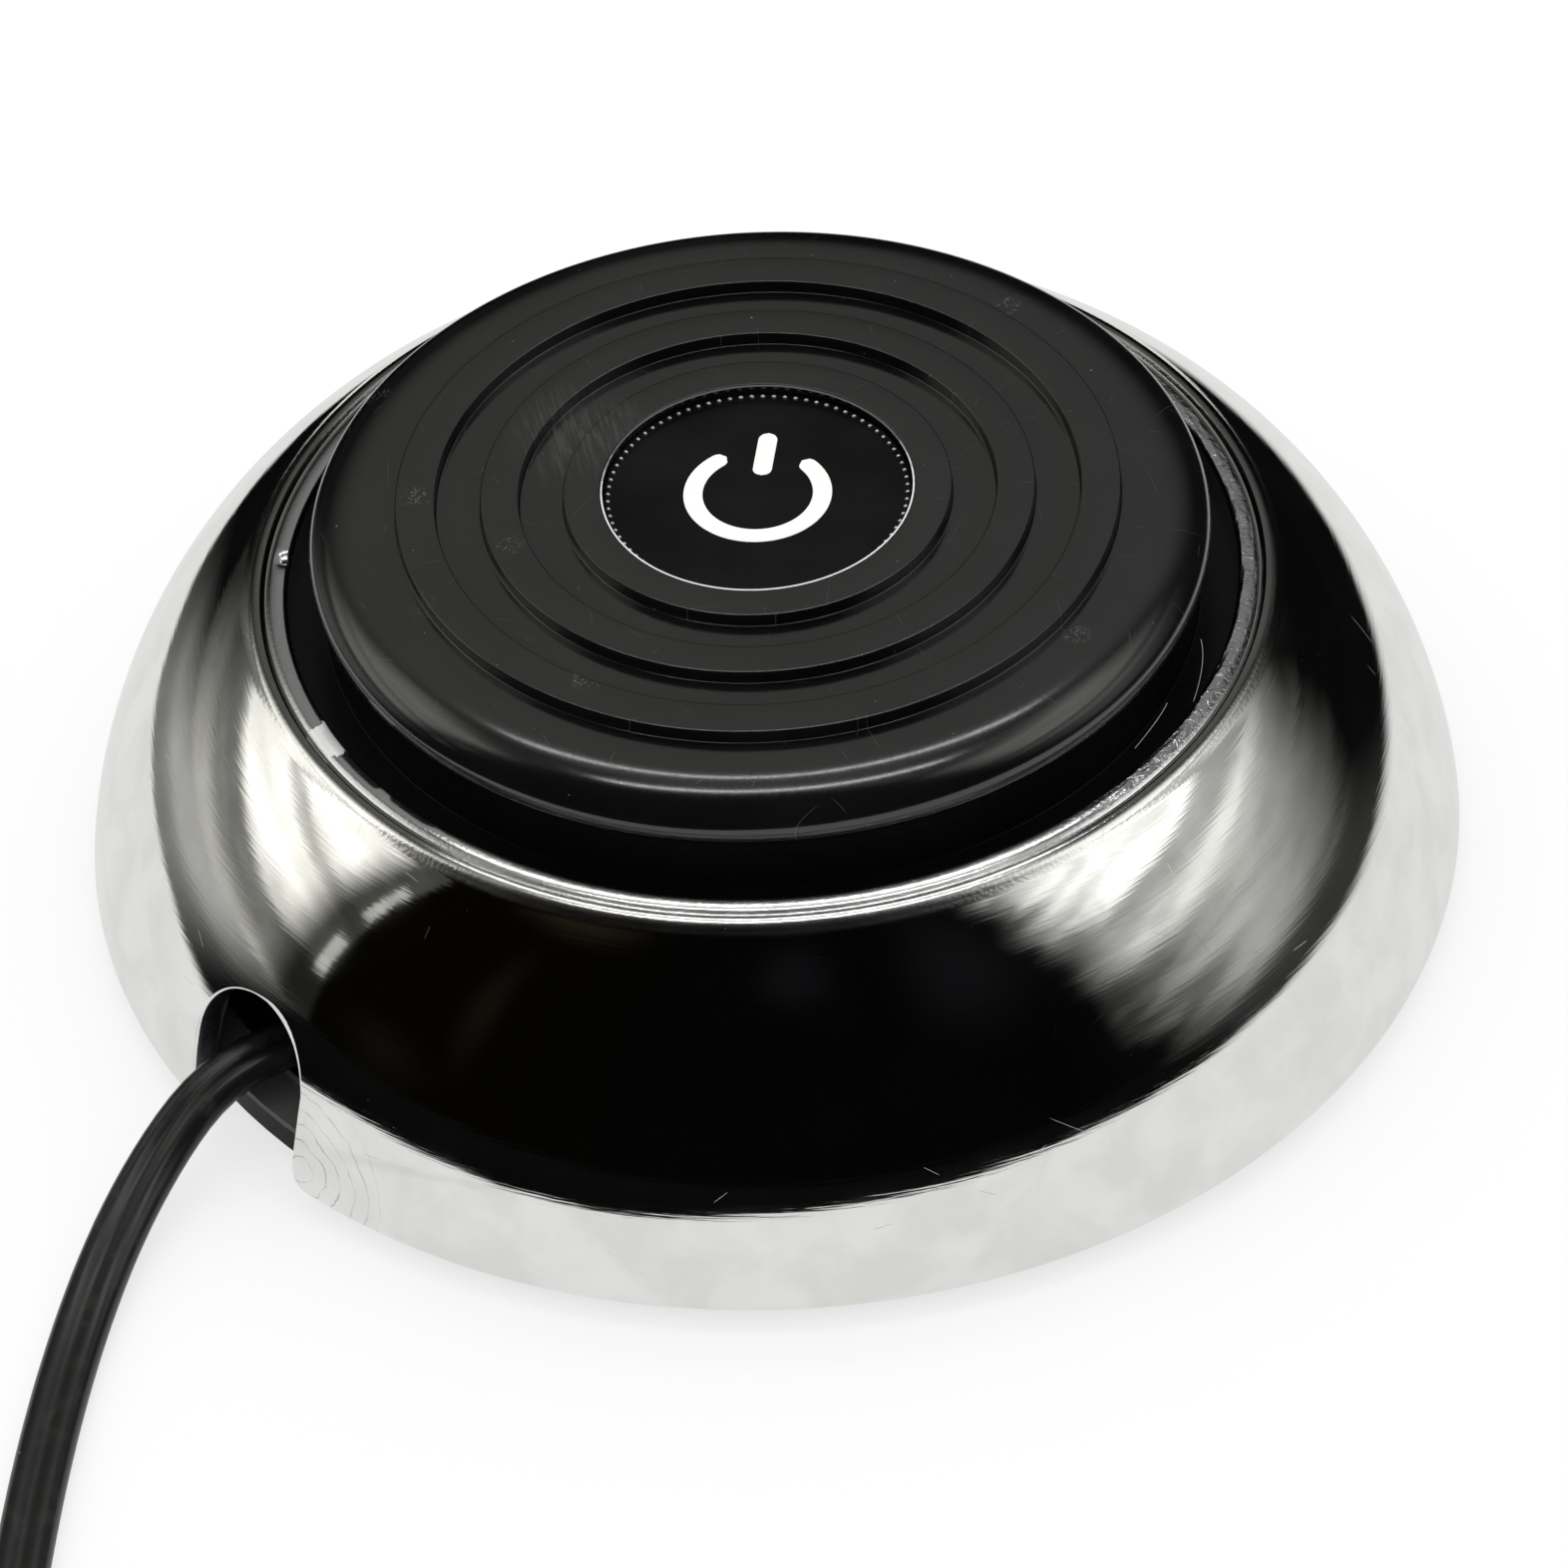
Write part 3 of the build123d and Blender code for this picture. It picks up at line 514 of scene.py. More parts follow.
@dataclass(frozen=True)
class Finish:
    """A plain finish: colour, polish, and a fine grain in colour, roughness and height.

    The grain is a smooth noise on the object's own coordinates. Lengths are in millimetres.
    """

    name: str
    color: Color
    roughness: float = 0.4
    metallic: float = 0.0
    grain: float = 0.25
    grain_depth: float = 0.004
    mottle: float = 0.12
    dust: float = 0.0
    dust_scale: float = 1.1
    dust_size: float = 0.07
    dust_cover: float = 0.5
    dust_color: Color = (0.45, 0.45, 0.43)
    specular: float = 0.5
    uneven: Pair = (0.85, 1.15)

    def material(self) -> bpy.types.Material:
        """Makes the Blender material of this finish."""
        material = bpy.data.materials.new(self.name)
        material.use_nodes = True
        graph = Graph(material.node_tree)
        plain: Inputs = {"Metallic": self.metallic, "Specular IOR Level": self.specular}
        shader = graph.node("ShaderNodeBsdfPrincipled", plain)
        graph.node("ShaderNodeOutputMaterial", {"Surface": shader.outputs[0]})
        for key, socket in self.dress(graph, graph.millimetres()).items():
            graph.tree.links.new(socket, shader.inputs[key])
        return material

    def dress(self, graph: Graph, point: Socket) -> dict[str, Socket]:
        """Works out the shader's colour, roughness and normal.

        Args:
            graph: the material's node tree.
            point: object coordinates in millimetres.

        Returns:
            What goes into the shader, by the names of its sockets.
        """
        fine = graph.noise(point, 1.0 / self.grain, 3.0)
        color = self.mottled(graph, graph.noise(point, 0.12, 3.0))
        if self.dust > 0:
            specks = graph.specks(point, self.dust_scale, self.dust, self.dust_size)
            color = graph.mix(graph.times(specks, self.dust_cover), color, self.dust_color)
        return {
            "Base Color": color,
            "Roughness": self.uneven_polish(graph, fine),
            "Normal": graph.bump(fine, self.grain_depth),
        }

    def mottled(self, graph: Graph, share: Socket) -> Socket:
        """The finish's colour, lighter and darker by its mottle."""
        dark, light = (tuple(part * (1 + by) for part in self.color) for by in (-self.mottle, self.mottle))
        return graph.mix(graph.step(share, *MIDDLE_NOISE), dark, light)

    def uneven_polish(self, graph: Graph, noise: Socket) -> Socket:
        """The finish's roughness, between its least and most shares, by a noise."""
        least, most = self.uneven
        return graph.step(noise, *MIDDLE_NOISE, self.roughness * least, self.roughness * most)


def metal(name: str, color: Color, roughness: float, grain: float, grain_depth: float) -> Finish:
    """The finish of a plain bare metal."""
    return Finish(name, color, roughness, metallic=1.0, grain=grain, grain_depth=grain_depth)


@dataclass(frozen=True)
class PolishedMetal(Finish):
    """Bright polished metal with the buffing wheel's fine lines, scratches, specks and soft waves.

    The lip on top is only ground: it is duller and grainy, its filed stretch is hammered, and one dressed
    patch is dull and pale.
    Its flat is painted grey and its bead near-black as painted shade, both left off at the front toward the
    camera, which is painted lighter. Ranges of the lip are in degrees from +X.
    """

    mean_r: float = 42.0
    streak_length: float = 6.0
    streak_width: float = 0.32
    streak_depth: float = 0.004
    wave_depth: float = 0.010
    scratch_depth: float = 0.002
    ground_depth: float = 0.012
    dent_depth: float = 0.06
    ring_middle: Triple = (-46.3, -6.2, 3.6)
    ring_pitch: float = 1.15
    ring_reach: float = 8.0
    ring_bend: float = 2.4
    lip_z: Pair = (23.35, 23.65)
    flat_edge_r: Pair = (33.0, 33.3)
    bead_range: Pair = (33.3, 34.25)
    filed: Pair = (-92.0, -2.0)
    dressed: Pair = (165.5, 171.0)
    dressed_metal: float = 0.4
    ragged_by: float = 3.5
    uneven: Pair = (0.7, 1.3)
    lines: tuple[Quad, ...] = ((3.2, 0.10, 0.9, 0.024), (6.5, 0.12, 2.2, 0.02))
    dots: tuple[Triple, ...] = ((0.9, 0.25, 0.045), (2.1, 0.12, 0.06))
    dot_cover: float = 0.6
    lip_shade_cover: float = 0.85
    scratch_rough: float = 0.08
    dot_rough: float = 0.25
    lip_rough: float = 0.09
    dressed_rough: float = 0.25
    front_rough: float = 0.07
    # Range round the lip, facing the camera, where the painted shade is left off so that it shows lighter
    lit_front: Pair = (-168.0, -97.0)
    range_soft: float = 14.0
    dim_metal: Color = (0.83, 0.82, 0.805)
    clean_metal: Color = (0.92, 0.92, 0.915)
    ring_color: Color = (0.40, 0.34, 0.31)
    speck_color: Color = (0.40, 0.40, 0.38)
    # Painted shade: grey on the lip's flat and near-black on its bead
    lip_shade_color: Color = (0.42, 0.43, 0.45)
    bead_shade_color: Color = (0.09, 0.09, 0.088)

    def dress(self, graph: Graph, point: Socket) -> dict[str, Socket]:
        """Works out the looks: lines run round the axis, thin uneven rings show beside the notch, and the lip
        carries painted shade except at its front.

        Args:
            graph: the material's node tree.
            point: object coordinates in millimetres.

        Returns:
            What goes into the shader, by the names of its sockets.
        """
        x, y, z = graph.parts(point)
        level = graph.joined(x, y)
        reach = graph.measure("LENGTH", level)
        turn = graph.math("ARCTAN2", y, x)
        down = graph.minus(reach, z)
        flat = graph.joined(graph.times(turn, self.mean_r), down)
        outward = graph.vector("MULTIPLY", graph.vector("NORMALIZE", level), (self.mean_r, self.mean_r, 0.0))
        fine = (1 / self.streak_length, 1 / self.streak_length, 1 / self.streak_width)
        drawn = graph.vector("MULTIPLY", graph.vector("ADD", outward, graph.joined(z=down)), fine)
        haze = graph.noise(point, 0.22, 4.0, 0.4)
        scratches = graph.all_scratches(flat, self.lines)
        dots = graph.all_specks(point, self.dots)
        lip = graph.step(z, *self.lip_z)
        degrees = graph.times(turn, 180.0 / math.pi)
        ground = graph.times(lip, graph.fall(reach, *self.flat_edge_r))
        front = graph.times(lip, graph.band(degrees, *self.lit_front, self.range_soft))
        filed = graph.times(ground, graph.band(degrees, *self.filed, self.range_soft))
        ragged = graph.shifted(degrees, graph.noise(point, 1.4, 3.0), self.ragged_by)
        dressed = graph.times(ground, graph.band(ragged, *self.dressed, 0.5))
        color = graph.mix(graph.step(haze, 0.32, 0.68), self.dim_metal, self.clean_metal)
        color = graph.mix(self.ring_marks(graph, point, haze), color, self.ring_color)
        color = graph.mix(graph.times(dots, self.dot_cover), color, self.speck_color)
        # Painted shade: the flat lip is painted grey and the bead near-black, both left off at the front
        # toward the camera, which is painted lighter
        undressed = graph.step(dressed, 0.0, 1.0, self.lip_shade_cover, 0.0)
        grey = graph.times(ground, undressed, graph.fall(front, 0.0, 1.0))
        color = graph.mix(grey, color, self.lip_shade_color)
        bead = graph.times(lip, graph.band(reach, *self.bead_range, 0.3))
        bead = graph.times(bead, graph.step(front, 0.0, 1.0, self.lip_shade_cover, 0.0))
        rough = graph.plus(
            self.uneven_polish(graph, haze),
            graph.times(scratches, self.scratch_rough),
            graph.times(dots, self.dot_rough),
            graph.times(lip, self.lip_rough),
            graph.times(dressed, self.dressed_rough),
            graph.times(front, self.front_rough),
        )
        normal = graph.bump(graph.noise(point, 0.16, 1.0), self.wave_depth)
        normal = graph.bump(graph.noise(drawn, 1.0, 3.0), self.streak_depth, normal)
        normal = graph.bump(graph.times(scratches, -1.0), self.scratch_depth, normal)
        normal = graph.bump(graph.times(graph.noise(point, 3.5, 3.0), lip), self.ground_depth, normal)
        normal = graph.bump(graph.times(graph.noise(point, 1.7, 3.0, 1.2), filed), self.dent_depth, normal)
        return {
            "Base Color": graph.mix(bead, color, self.bead_shade_color),
            "Metallic": graph.step(dressed, 0.0, 1.0, 1.0, self.dressed_metal),
            "Roughness": rough,
            "Normal": normal,
        }

    def ring_marks(self, graph: Graph, point: Socket, haze: Socket) -> Socket:
        """Uneven thin rings round the notch's lower corner.

        Args:
            graph: the material's node tree.
            point: object coordinates in millimetres.
            haze: a broad noise that bends and breaks the rings.

        Returns:
            The share of ring colour.
        """
        far = graph.measure("DISTANCE", point, self.ring_middle)
        bent = graph.plus(far, graph.times(haze, self.ring_bend))
        wave = graph.size(graph.math("SINE", graph.times(bent, math.pi / self.ring_pitch)))
        lines = graph.step(wave, 0.0, 0.26, 0.7, 0.0)
        near = graph.fall(far, self.ring_reach * 0.55, self.ring_reach)
        uneven = graph.step(graph.noise(point, 0.5, 2.0), 0.35, 0.6, 0.25, 1.0)
        return graph.times(lines, near, uneven)


@dataclass(frozen=True)
class WornPlastic(Finish):
    """Black moulded plastic with dust in it, hairline scratches, and a wiped patch and scuffs."""

    scuffs: tuple[Triple, ...] = ()
    scuff_r: float = 1.3
    lines: tuple[Quad, ...] = ((2.6, 0.30, 0.7, 0.03), (6.0, 0.4, 2.0, 0.025))
    dots: tuple[Triple, ...] = ((1.3, 0.20, 0.06), (0.45, 0.18, 0.035))
    dot_cover: float = 0.55
    line_wear: float = 0.5
    wipe_wear: float = 0.5
    wear_cover: float = 0.22
    wear_rough: float = 0.25
    wipe: Triple = (-4.9, 12.6, 30.6)
    wipe_r: float = 6.0
    wipe_turn: float = -62.0
    wear_color: Color = (0.32, 0.32, 0.31)
    dust_color: Color = (0.42, 0.42, 0.40)

    def dress(self, graph: Graph, point: Socket) -> dict[str, Socket]:
        """Works out the looks, with the wear paler and duller than the plastic.

        Args:
            graph: the material's node tree.
            point: object coordinates in millimetres.

        Returns:
            What goes into the shader, by the names of its sockets.
        """
        fine = graph.noise(point, 1.0 / self.grain, 3.0)
        dots = graph.all_specks(point, self.dots)
        lines = graph.all_scratches(point, self.lines)
        inputs = {"Vector": point, "Rotation": (0.0, 0.0, math.radians(self.wipe_turn))}
        turned = graph.node("ShaderNodeMapping", inputs).outputs[0]
        brushed = graph.noise(graph.vector("MULTIPLY", turned, (0.35, 4.0, 0.35)), 1.0, 2.0)
        wiped = graph.fall(graph.measure("DISTANCE", point, self.wipe), self.wipe_r * 0.2, self.wipe_r)
        smear = graph.times(wiped, graph.step(brushed, 0.42, 0.66, 0.15, 0.8))
        wear = graph.most(graph.times(lines, self.line_wear), graph.times(smear, self.wipe_wear))
        rough_spots = graph.step(graph.noise(point, 3.2, 3.0, 1.5), 0.56, 0.62)
        for spot in self.scuffs:
            here = graph.fall(graph.measure("DISTANCE", point, spot), self.scuff_r * 0.3, self.scuff_r)
            wear = graph.most(wear, graph.times(here, rough_spots))
        plain = self.mottled(graph, graph.noise(point, 0.1, 4.0))
        color = graph.mix(graph.times(wear, self.wear_cover), plain, self.wear_color)
        return {
            "Base Color": graph.mix(graph.times(dots, self.dot_cover), color, self.dust_color),
            "Roughness": graph.plus(self.uneven_polish(graph, fine), graph.times(wear, self.wear_rough)),
            "Normal": graph.bump(fine, self.grain_depth),
        }


@dataclass(frozen=True)
class SideLitSilver(Finish):
    """Silver painted bright on the camera's side as a painted highlight, and grey on the far side as painted
    shade.
    """

    lit_side: Triple = (-0.62, -0.78, 0.0)
    # Grey of the painted shade on the side away from the camera
    worn: Color = (0.12, 0.12, 0.12)
    shade_fade: Pair = (-2.5, 3.5)
    patchy: float = 5.0
    uneven: Pair = (0.8, 1.3)

    def dress(self, graph: Graph, point: Socket) -> dict[str, Socket]:
        """Works out the looks: the share of silver, a painted highlight, grows towards the lit side, the
        camera's; the grey on the far side is painted shade.

        Args:
            graph: the material's node tree.
            point: object coordinates in millimetres.

        Returns:
            What goes into the shader, by the names of its sockets.
        """
        spots = graph.noise(point, 2.2, 3.0)
        side = graph.measure("DOT_PRODUCT", point, self.lit_side)
        kept = graph.step(graph.plus(side, graph.times(spots, self.patchy)), *self.shade_fade)
        return {
            "Base Color": graph.mix(kept, self.worn, self.color),
            "Roughness": self.uneven_polish(graph, spots),
            "Normal": graph.bump(spots, self.grain_depth),
        }


@dataclass(frozen=True)
class CordSheath(Finish):
    """Soft black sheath, with faint rubbed stretches along the cord and a few specks."""

    dots: Triple = (0.5, 0.25, 0.05)
    dot_cover: float = 0.5
    rubbed_cover: float = 0.3
    uneven: Pair = (0.9, 1.15)
    rubbed_color: Color = (0.03, 0.03, 0.028)
    speck_color: Color = (0.35, 0.35, 0.33)

    def dress(self, graph: Graph, point: Socket) -> dict[str, Socket]:
        """Works out the looks: rubbed stretches are paler and duller.

        Args:
            graph: the material's node tree.
            point: object coordinates in millimetres.

        Returns:
            What goes into the shader, by the names of its sockets.
        """
        fine = graph.noise(point, 1.0 / self.grain, 3.0)
        rubbed = graph.step(graph.noise(point, 0.5, 4.0, 0.6), 0.5, 0.7)
        plain = self.mottled(graph, fine)
        color = graph.mix(graph.times(rubbed, self.rubbed_cover), plain, self.rubbed_color)
        dots = graph.specks(point, *self.dots)
        least, most = self.uneven
        return {
            "Base Color": graph.mix(graph.times(dots, self.dot_cover), color, self.speck_color),
            "Roughness": graph.step(rubbed, 0.0, 1.0, self.roughness * least, self.roughness * most),
            "Normal": graph.bump(fine, self.grain_depth),
        }


@dataclass(frozen=True)
class LitLedgePlastic(Finish):
    """Black plastic whose ledge, between two heights, is painted dark grey as painted light on the
    upward-facing ledge.
    """

    ledge_z: Pair = (3.4, 4.6)
    ledge_light_color: Color = (0.09, 0.09, 0.088)

    def mottled(self, graph: Graph, share: Socket) -> Socket:
        """The finish's colour, with the ledge's painted light, a dark grey, between its heights."""
        ledge = graph.band(graph.parts(graph.millimetres())[2], *self.ledge_z, 0.2)
        return graph.mix(ledge, super().mottled(graph, share), self.ledge_light_color)


@dataclass(frozen=True)
class Housing:
    """The metal dome, as one closed skin of columns that bend round the notch.

    Columns run from the lip over the dome to the edge, over the cut or the edge's underside, and up
    the inner wall to the lip again. Away from the notch a column keeps its angle. Beside it, the
    column's lower end slides along the notch's outline, so the cut face and its rounded rim follow
    the same columns. Angles are from -X, and positive towards +Y.
    """

    lip_inner_r: float = 31.8
    lip_z: float = 24.1
    lip_under: float = 22.4
    lip_round: float = 0.4
    groove_r: Triple = (32.95, 33.3, 33.65)
    groove_d: float = 0.3
    crown_r: float = 32.3
    crown: float = 0.26
    bead_r: float = 34.65
    bead_rise: float = 0.15
    dome_top: float = 23.65
    edge_r: float = 47.0
    edge_round: float = 1.1
    bottom: float = 1.2
    wall: float = 2.0
    ledge_r: float = 33.4
    fullness: float = 0.89
    shoulder: float = 0.37
    foot: float = 0.02
    notch_half: float = 5.35
    notch_top: float = 12.9
    notch_flare: float = 2.5
    rim_round: float = 0.3
    boss_r: float = 4.0
    boss_pitch_r: float = 38.5
    boss_hole_r: float = 1.5
    boss_foot: float = 4.7
    boss_hole_d: float = 8.5
    boss_sunk: float = 0.7
    columns: int = 420
    notch_columns: int = 90
    filed_from: Pair = (-96.0, -84.0)
    filed_to: Pair = (4.0, 22.0)
    file_depth: float = 0.02
    nick_angle: float = 135.4
    nick_half: float = 0.95
    nick_r: Pair = (32.3, 33.0)
    nick_z: Pair = (22.6, 23.6)
    nick_depth: float = 0.5
    flats: tuple[tuple[Pair, Pair, float], ...] = (
        ((165.2, 166.2), (178.0, 179.0), 0.12),
        ((180.5, 181.5), (186.5, 189.0), 0.072),
    )
    flats_r: Pair = (32.0, 32.75)
    worn_rim: Pair = (-2.2, 1.5)
    worn_rim_z: Pair = (8.5, 10.5)
    lint: tuple[tuple[Triple, Triple], ...] = (
        ((13.95, -27.88, 27.0), (11.65, -29.6, 24.1)),
        ((9.61, -29.26, 25.0), (5.69, -30.41, 24.3)),
    )
    lint_r: float = 0.035
    lint_sag: Triple = (0.25, -0.2, 0.35)
    polish: Finish = PolishedMetal("polished_metal", (0.87, 0.87, 0.86), roughness=0.045, metallic=1.0)
    lint_finish: Finish = Finish("lint", (0.2, 0.2, 0.19), roughness=0.8)
    raw: Finish = Finish("raw_metal", (0.16, 0.17, 0.19), 0.4, metallic=1.0, grain=0.35, grain_depth=0.012)

    def dome(self, start: Pair, end: Pair, shoulder: float) -> np.ndarray:
        """Cubic Bezier curve of the dome, from under the lip to the edge.

        Args:
            start: radius and height of its upper end.
            end: radius and height of its lower end.
            shoulder: share of the height by which the first control point is lower than the start.

        Returns:
            Radius and height, one row each.
        """
        width = end[0] - start[0]
        height = start[1] - end[1]
        a, b, c, d = (
            np.array(point)
            for point in (
                start,
                (start[0] + self.fullness * width, start[1] - shoulder * height),
                (end[0], end[1] + self.foot * height),
                end,
            )
        )
        t = np.linspace(0.0, 1.0, 200)[:, None]
        return (1 - t) ** 3 * a + 3 * (1 - t) ** 2 * t * b + 3 * (1 - t) * t**2 * c + t**3 * d

    def lip(self) -> np.ndarray:
        """Outline of the lip: inner side, rounded edge, crowned flat, groove and bead."""
        turn = np.linspace(math.pi, math.pi / 2, 7)
        round_r = self.lip_inner_r + self.lip_round * (1 + np.cos(turn))
        round_z = self.lip_z - self.lip_round * (1 - np.sin(turn))
        flat_r = np.linspace(self.lip_inner_r + self.lip_round, self.groove_r[0], 12)[1:]
        flat_z = self.lip_z - self.crown * np.maximum(flat_r - self.crown_r, 0.0) ** 2
        bead_r = np.linspace(self.groove_r[2], self.bead_r, 14)
        share = (bead_r - bead_r[0]) / (bead_r[-1] - bead_r[0])
        bead_z = self.lip_z + (self.dome_top - self.lip_z) * share + 4 * self.bead_rise * share * (1 - share)
        r = np.concatenate([[self.lip_inner_r], round_r, flat_r, [self.groove_r[1]], bead_r])
        z = np.concatenate([[self.lip_under], round_z, flat_z, [self.lip_z - self.groove_d], bead_z])
        return soften(np.stack([r, z], axis=1), 0.02, 0.05)

    def outer(self) -> np.ndarray:
        """Outline of the dome and the edge's rounding, down to the flat underside."""
        edge_z = self.bottom + self.edge_round
        curve = self.dome((self.bead_r, self.dome_top), (self.edge_r, edge_z), self.shoulder)
        turn = np.linspace(0.0, -math.pi / 2, 16)[1:]
        r = self.edge_r - self.edge_round * (1 - np.cos(turn))
        z = edge_z + self.edge_round * np.sin(turn)
        return np.concatenate([curve, np.stack([r, z], axis=1)])

    def inner(self) -> np.ndarray:
        """Outline of the inner wall, from the underside up to the ledge under the lip."""
        edge_z = self.bottom + self.edge_round
        end = (self.edge_r - self.wall, edge_z)
        curve = self.dome((self.ledge_r, self.lip_under), end, self.shoulder + 0.05)
        return np.concatenate([[[end[0], self.bottom]], curve[::-1]])

    def notch(self) -> tuple[np.ndarray, np.ndarray]:
        """Outline of the notch seen along X: flare, upright side, half round, side and flare.

        Returns:
            Points as (y, z) and the directions from them into the metal.
        """
        side = self.notch_half
        arch_z = self.notch_top - side
        flare_z = self.bottom + self.notch_flare
        low = np.linspace(-math.pi / 2, -math.pi, 20)
        flare_y = side + self.notch_flare * (1 + np.cos(low))
        flare = np.stack([flare_y, flare_z + self.notch_flare * np.sin(low)], axis=1)
        turn = np.linspace(0.0, math.pi / 2, 30)
        arch = np.stack([side * np.cos(turn), arch_z + side * np.sin(turn)], axis=1)
        half = np.concatenate([flare, arch])
        corners = np.concatenate([half * (-1, 1), half[-2::-1]])
        line = spread(corners, self.notch_columns)
        run = unit(np.gradient(line, axis=0))
        return line, np.stack([-run[:, 1], run[:, 0]], axis=1)

    def wear(self, grid: np.ndarray) -> np.ndarray:
        """Lowers the lip's points for its wear: file marks, a nick and two dressed flats.

        File marks are a sum of sines of the angle and radius, within the range that was filed. The
        nick's section is a triangle. The flats rise and fall in smooth steps round the lip and are
        deepest at its inner edge.

        Args:
            grid: points of the whole skin.

        Returns:
            The moved points.
        """
        r, z = np.hypot(grid[..., 0], grid[..., 1]), grid[..., 2]
        angle = np.degrees(np.arctan2(grid[..., 1], grid[..., 0]))
        on_lip = smooth_step(z, self.lip_z - 0.9, self.lip_z - 0.2) * (1 - smooth_step(r, 32.8, 33.1))
        marks = np.sin(angle * 3.1 + 4 * np.sin(angle * 0.71))
        marks += np.sin(angle * 5.3 + r * 9.0 + 3 * np.sin(angle * 1.3))
        marks += 0.8 * np.sin(angle * 9.7 - r * 14.0 + 2 * np.sin(angle * 2.9))
        drop = self.file_depth * on_lip * plateau(angle, self.filed_from, self.filed_to) * marks
        cut = np.maximum(1 - np.abs(angle - self.nick_angle) / self.nick_half, 0.0)
        nick = cut * (1 - smooth_step(r, *self.nick_r)) * smooth_step(z, *self.nick_z)
        turn = np.mod(angle, 360.0)
        dressed = sum(depth * plateau(turn, rise, fall) for rise, fall, depth in self.flats)
        moved = grid.copy()
        moved[..., 2] += drop - self.nick_depth * nick
        moved[..., 2] -= dressed * (1 - smooth_step(r, *self.flats_r)) * on_lip
        return moved

    def skin(self) -> tuple[np.ndarray, int]:
        """Works out the whole skin.

        Returns:
            The grid, whose columns close round the axis, and the row where the polish ends.
        """
        line, inward = self.notch()
        outer, inner = self.outer(), self.inner()
        half_angle = math.asin(line[-1, 0] / outer[-1, 0])
        rest = np.linspace(half_angle, 2 * math.pi - half_angle, self.columns - self.notch_columns + 2)[1:-1]
        top_angle = np.concatenate([np.linspace(-half_angle, half_angle, self.notch_columns), rest])
        fade = np.ones(self.notch_columns)
        fade[:4] = fade[-4:][::-1] = (0.0, 0.25, 0.5, 0.75)
        worn = 0.55 + 1.5 * bell(line[:, 0], *self.worn_rim) * smooth_step(line[:, 1], *self.worn_rim_z)

        def end_ring(profile: np.ndarray, widen: float, depth: float) -> np.ndarray:
            """Ring of the columns' ends on a wall's outline.

            Args:
                profile: the wall's outline, as radius and height.
                widen: how much wider than its outline the notch is.
                depth: how far the notch's part is sunk towards the axis.

            Returns:
                Points, one for each column.
            """
            seen = line + inward * (widen * fade * worn)[:, None]
            r = np.interp(seen[:, 1], profile[:, 1], profile[:, 0])
            x = -np.sqrt(r**2 - seen[:, 0] ** 2) + depth * fade
            foot_r, foot_z = profile[np.argmin(profile[:, 1])]
            low = np.full(len(top_angle), foot_z)
            ring = np.stack([-foot_r * np.cos(top_angle), foot_r * np.sin(top_angle), low], axis=1)
            ring[: self.notch_columns] = np.stack([x, seen[:, 0], seen[:, 1]], axis=1)
            return ring

        def wall_rows(profile: np.ndarray, ring: np.ndarray, shares: np.ndarray) -> np.ndarray:
            """Rows from a wall's upper end down to a ring, each column along the wall's own outline.

            Args:
                profile: the wall's outline, as radius and height.
                ring: the columns' lower ends.
                shares: how far down each row lies, as shares of the way.

            Returns:
                Points, rows by columns by three.
            """
            along = run_length(profile)
            ends = np.interp(-ring[:, 2], -profile[:, 1], along)
            ring_angle = np.arctan2(ring[:, 1], -ring[:, 0])
            turn = (ring_angle - top_angle + math.pi) % (2 * math.pi) - math.pi
            reached = shares[:, None] * ends
            angle = top_angle + turn * shares[:, None]
            r = np.interp(reached, along, profile[:, 0])
            z = np.interp(reached, along, profile[:, 1])
            return np.stack([-r * np.cos(angle), r * np.sin(angle), z], axis=-1)

        polished = outer[::-1]
        out_ring = end_ring(polished, self.rim_round, 0.0)
        in_ring = end_ring(inner, 0.0, 0.0)
        shares = np.concatenate([np.linspace(0.0, 0.9, 64), np.linspace(0.9, 1.0, 20)[1:]])
        lip = thin(self.lip(), 6.0, 0.3)
        lip_r = np.broadcast_to(lip[:, :1], (len(lip), self.columns))
        lip_z = np.broadcast_to(lip[:, 1:], (len(lip), self.columns))
        lip_rows = np.stack([-lip_r * np.cos(top_angle), lip_r * np.sin(top_angle), lip_z], axis=-1)
        dome_rows = wall_rows(outer, out_ring, shares)
        rim = [
            end_ring(polished, self.rim_round * (1 - math.sin(a)), self.rim_round * (1 - math.cos(a)))
            for a in (math.pi / 6, math.pi / 3, math.pi / 2)
        ]
        cut = [rim[-1] + (in_ring - rim[-1]) * share for share in (0.25, 0.5, 0.75, 1.0)]
        wall_up = wall_rows(inner[::-1], in_ring, np.linspace(1.0, 0.0, 30))[1:]
        outside = np.concatenate([lip_rows, dome_rows[1:], np.array(rim)])
        skin = np.concatenate([outside, np.array(cut), wall_up, lip_rows[:1]])
        return self.wear(skin), len(outside) - 1

    def fibre(self, start: Triple, end: Triple) -> np.ndarray:
        """Skin of a lint fibre that clings to the lip: a thin tube along an arc.

        Args:
            start: one end.
            end: the other end.

        Returns:
            Points, rows by columns by three.
        """
        share = np.linspace(0.0, 1.0, 11)[:, None]
        line = np.array(start) + (np.array(end) - np.array(start)) * share
        line = line + np.array(self.lint_sag) * 4 * share * (1 - share)
        run = unit(np.gradient(line, axis=0))
        side = unit(np.cross(run, (0.0, 0.0, 1.0)))
        up = np.cross(side, run)
        turn = np.linspace(0.0, 2 * math.pi, 6, endpoint=False)[:, None]
        return line[:, None] + self.lint_r * (side[:, None] * np.cos(turn) + up[:, None] * np.sin(turn))

